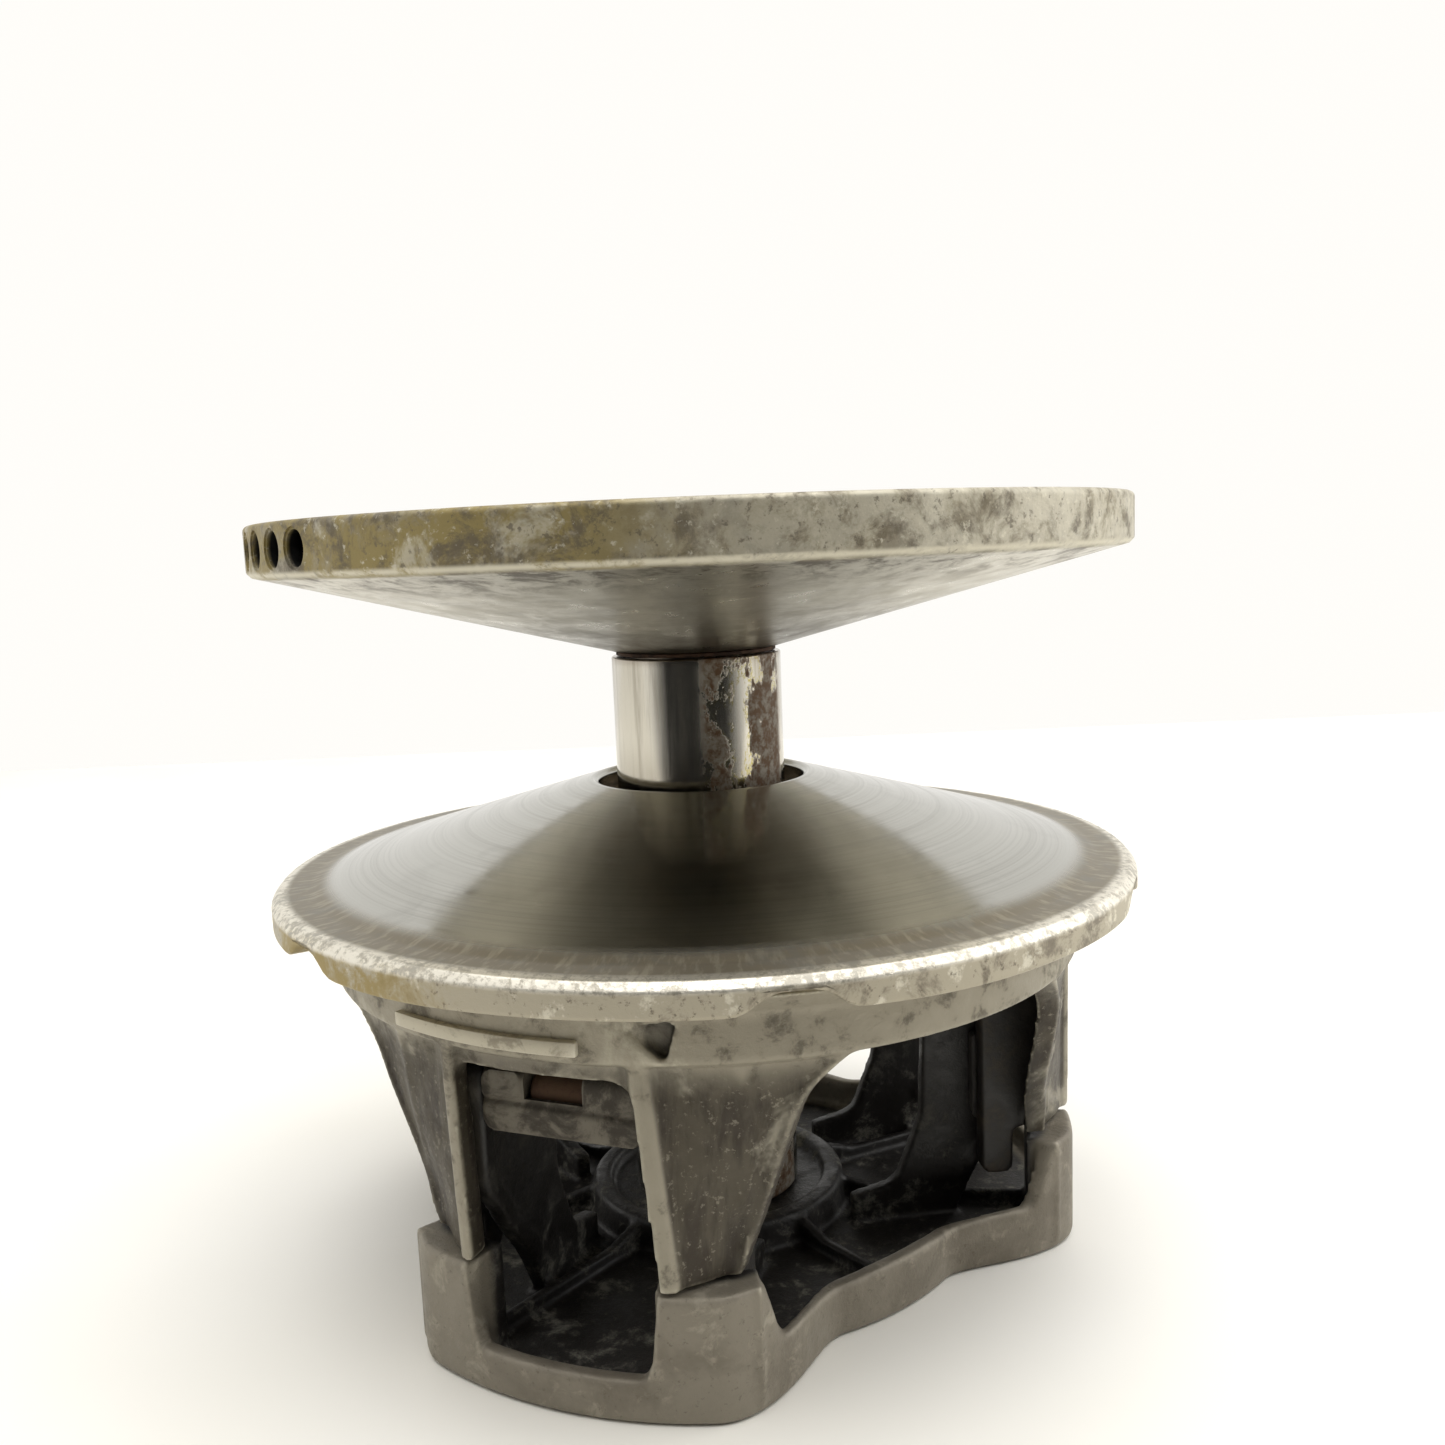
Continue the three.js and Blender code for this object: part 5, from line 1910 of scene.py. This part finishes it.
    def build(self, finishes: Finishes) -> None:
        """Builds and ties each piece of the set.

        Args:
            finishes: The finishes to choose from.
        """
        i = self.number
        arm, wheel, polymer = f"lever_arm_{i}", f"roller_wheel_{i}", finishes.polymer
        report(self.put(self.lever()), arm, [f"lever_{i}"], finishes.lever)
        report(self.put(self.bush()), arm, [f"lever_bush_{i}"], finishes.rusty)
        report(self.put(self.roller_pin()), arm, [f"roller_pin_{i}"], finishes.steel)
        report(self.put(self.roller()), wheel, [f"roller_{i}"], finishes.steel)
        report(self.put(self.bolt()), "shaft", [f"lever_bolt_{i}"], finishes.zinc)
        report(self.put(self.nut()), "shaft", [f"lever_nut_{i}"], finishes.zinc)
        report(self.put(self.ramp()), "sliding_half", [f"ramp_{i}"], finishes.steel)
        report(self.put(self.ramp_screw()), "sliding_half", [f"ramp_screw_{i}"], finishes.zinc)
        for side, word in zip(SIDES, ("left", "right")):
            report(self.put(self.shoe(side)), "shaft", [f"slider_shoe_{i}_{word}"], polymer)


@dataclass
class SpringPack:
    """The guide collar, main spring, spring cover and its screws, inside the sliding sheave's hub."""

    post_r: float = POST_R
    bore_r: float = SLIDING_BORE_R
    collar_z: tuple[float, float] = (104.0, 111.0)
    cover_z: tuple[float, float] = (55.5, 59.7)
    cover_r: float = FLANGE_R
    cover_bore: float = 23.4
    lip: float = 2.2
    screws: int = 6
    screw_ring: float = 33.3
    wire_r: float = 1.5
    turns: float = 4.0

    def collar(self) -> Solid:
        """Turns the bronze guide collar.

        Returns:
            The collar.
        """
        low, high = self.collar_z
        inner, outer = self.post_r + 0.3, self.bore_r - 0.15
        profile = rounded([(inner, low, 0.5), (outer, low, 0.5), (outer, high, 0.5), (inner, high, 0.8)], 3)
        return smooth(lathe("guide_collar_ring", spaced(profile), 144))

    def cover(self) -> Solid:
        """Turns the spring cover with its lip.

        Returns:
            The cover.
        """
        low, high = self.cover_z
        lip_r = self.bore_r - 0.15
        profile = rounded([(self.cover_bore, low, 0.8), (self.cover_r, low, 1.2), (self.cover_r, high, 0.5),
                           (lip_r, high, 0.2), (lip_r, high + self.lip, 0.4),
                           (self.cover_bore, high + self.lip, 0.4)], 4)
        return smooth(lathe("spring_cover_disc", spaced(profile), 192))

    def screw_set(self, finish: Material) -> Solid:
        """Makes one domed screw and repeats it round the cover.

        Args:
            finish: Its material.

        Returns:
            All the screws in one mesh.
        """
        low = self.cover_z[0]
        profile = [(0.0, low - 2.1), (1.7, low - 1.9), (2.4, low - 1.3), (2.6, low - 0.6),
                   (2.55, low - 0.3), (1.6, low - 0.3), (1.6, low + 4.5), (0.0, low + 4.5)]
        screw = lathe("cover_screws", profile, 24)
        socket = prism("socket", hexagon(1.25), low - 3, low - 1.1, Draw.UP)
        carve(screw, [socket])
        screw.data.transform(Matrix.Translation((self.screw_ring * MM, 0, 0)))
        grown(screw, around_shaft_tree(), {"Count": self.screws, "First Angle": 0.0, "Material": finish})
        return smooth(screw)

    def spring(self, finish: Material) -> Solid:
        """Winds the main spring between the cover's lip and the collar.

        Args:
            finish: Its material.

        Returns:
            The spring.
        """
        bottom = self.cover_z[1] + self.lip + 0.3 + self.wire_r
        top = self.collar_z[0] - 0.3 - self.wire_r
        seed = mesh_object("main_spring_coil", [(0, 0, 0)], [])
        grown(seed, coil_tree(), {"Radius": (self.post_r + self.bore_r) / 2 * MM,
                                  "Wire Radius": self.wire_r * MM, "Turns": self.turns,
                                  "Bottom": bottom * MM, "Height": (top - bottom) * MM, "Material": finish})
        return smooth(seed, 60)

    def build(self, finishes: Finishes) -> None:
        """Builds and ties the pack.

        Args:
            finishes: The finishes to choose from.
        """
        report(self.collar(), "shaft", ["guide_collar"], finishes.bronze)
        report(self.cover(), "sliding_half", ["spring_cover"], finishes.lever)
        nodes = [f"cover_screw_{i + 1}" for i in range(self.screws)]
        report(self.screw_set(finishes.zinc), "sliding_half", nodes)
        spring = report(self.spring(finishes.spring), "shaft", ["main_spring"])
        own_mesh(spring)


@dataclass
class ClutchBolt:
    """The long bolt up the post and its washer."""

    radius: float = 7.0
    flats: float = 19.0
    head_z: tuple[float, float] = (0.6, 4.0)
    top: float = 108.0
    washer_r: float = 14.0
    washer_z: tuple[float, float] = (4.3, 5.1)

    def build(self, finishes: Finishes) -> None:
        """Builds and ties the bolt and washer.

        Args:
            finishes: The finishes to choose from.
        """
        low, seat = self.head_z
        outline = hexagon(self.flats / math.sqrt(3))
        head = bevelled(prism("clutch_bolt_steel", outline, low, seat, Draw.UP), 0.5)
        shank = lathe("shank", [(0, seat - 1), (self.radius, seat - 1), (self.radius, self.top - 2),
                                (self.radius - 1.4, self.top), (0, self.top)], 64)
        bolt = smooth(carve(head, [shank], "UNION"))
        report(bolt, "shaft", ["clutch_bolt"], finishes.zinc)
        z0, z1 = self.washer_z
        inner = self.radius + 0.3
        ring = rounded([(inner, z0), (self.washer_r, z0, 0.3), (self.washer_r, z1, 0.3), (inner, z1)], 3)
        washer = smooth(lathe("bolt_washer_ring", ring, 96))
        report(washer, "shaft", ["bolt_washer"], finishes.zinc)


# ---------------------------------------------------------------- studio
@dataclass
class Studio:
    """The pale floor, the soft light and the camera, placed in metres."""

    eye: Place = (0.12652, -0.3078, 0.17224)
    forward: Place = (-0.36692, 0.91857, -0.14697)
    roll: float = -2.35
    lens: float = 33.33
    sensor: float = 36.0
    shift: Point = (0.0065, 0.0173)
    floor_wide: float = 3.0
    floor_near: float = 0.40
    floor_far: float = 0.86
    floor_z: float = -0.00005
    behind_camera: float = 0.03

    def camera(self) -> None:
        """Places the camera, rolled about its own axis."""
        data = bpy.data.cameras.new("camera")
        data.lens, data.sensor_width = self.lens, self.sensor
        data.shift_x, data.shift_y = self.shift
        data.clip_start = 0.01
        forward = Vector(self.forward).normalized()
        level = forward.cross(Vector((0, 0, 1))).normalized()
        right = Matrix.Rotation(math.radians(-self.roll), 3, forward) @ level
        up = right.cross(forward)
        made = bpy.data.objects.new("camera", data)
        turn = Matrix((right, up, -forward)).transposed().to_4x4()
        made.matrix_world = Matrix.Translation(self.eye) @ turn
        bpy.context.scene.collection.objects.link(made)
        bpy.context.scene.camera = made

    def floor(self) -> None:
        """Lays the floor under the clutch."""
        ahead = Vector((self.forward[0], self.forward[1], 0)).normalized() / MM
        aside = Vector((ahead.y, -ahead.x, 0))
        near, far, wide = -self.floor_near, self.floor_far, self.floor_wide
        places = ((near, -wide), (near, wide), (far, wide), (far, -wide))
        corners = [ahead * along + aside * across for along, across in places]
        made = mesh_object("studio_floor", [(c.x, c.y, self.floor_z / MM) for c in corners], [(0, 1, 2, 3)])
        made.data.materials.append(StudioFloor().make())

    def light(self, name: str, at: Place, size: float, power: float, tint: Colour = (1, 1, 1)) -> None:
        """Hangs one square soft light that faces the clutch.

        Args:
            name: The light's name.
            at: Its place, in metres.
            size: Its side, in metres.
            power: Its power, in watts.
            tint: Its colour.
        """
        data = bpy.data.lights.new(name, "AREA")
        data.size, data.energy, data.color = size, power, tint
        made = bpy.data.objects.new(name, data)
        made.location = at
        made.rotation_euler = (Vector((0, 0, 0.1)) - Vector(at)).to_track_quat("-Z", "Y").to_euler()
        bpy.context.scene.collection.objects.link(made)

    def surroundings(self) -> None:
        """Sets a white room that is open and dark behind the camera, and white to the camera itself."""
        world = bpy.data.worlds.new("room")
        world.use_nodes = True
        nodes, links = world.node_tree.nodes, world.node_tree.links
        nodes.clear()
        place = nodes.new("ShaderNodeTexCoord")
        facing = nodes.new("ShaderNodeVectorMath")
        facing.operation = "DOT_PRODUCT"
        back = -Vector((self.forward[0], self.forward[1], 0)).normalized()
        facing.inputs[1].default_value = back
        links.new(place.outputs["Generated"], facing.inputs[0])
        shade = nodes.new("ShaderNodeMapRange")
        shade.interpolation_type = "SMOOTHSTEP"
        levels = {"From Min": 0.30, "From Max": 0.80, "To Min": 1.0, "To Max": self.behind_camera}
        for key, value in levels.items():
            shade.inputs[key].default_value = value
        links.new(facing.outputs["Value"], shade.inputs["Value"])
        seen = nodes.new("ShaderNodeLightPath")
        both = nodes.new("ShaderNodeMath")
        both.operation = "MAXIMUM"
        links.new(seen.outputs["Is Camera Ray"], both.inputs[0])
        links.new(shade.outputs[0], both.inputs[1])
        sky = nodes.new("ShaderNodeBackground")
        sky.inputs["Color"].default_value = (1.0, 0.985, 0.95, 1.0)
        links.new(both.outputs[0], sky.inputs["Strength"])
        output = nodes.new("ShaderNodeOutputWorld")
        links.new(sky.outputs[0], output.inputs["Surface"])
        bpy.context.scene.world = world

    def build(self) -> None:
        """Sets up the whole studio."""
        self.camera()
        self.floor()
        self.surroundings()
        self.light("overhead", (0.15, -0.1, 1.5), 1.6, 18.0)
        self.light("right_side", (1.1, 0.5, 0.7), 1.0, 5.0)
        view = bpy.context.scene.view_settings
        view.view_transform = "Standard"
        view.look = "None"


def main() -> None:
    """Builds the studio and the clutch, in order."""
    logging.basicConfig(level=logging.INFO, format="%(message)s")
    Studio().build()
    finishes = Finishes.make_all()
    FixedSheave().build(finishes)
    Post().build(finishes)
    SlidingSheave().build(finishes)
    GovernorCup().build(finishes)
    SpringPack().build(finishes)
    ClutchBolt().build(finishes)
    for number, angle in enumerate(LOBES, 1):
        LeverSet(number, angle).build(finishes)


if __name__ == "__main__":
    main()
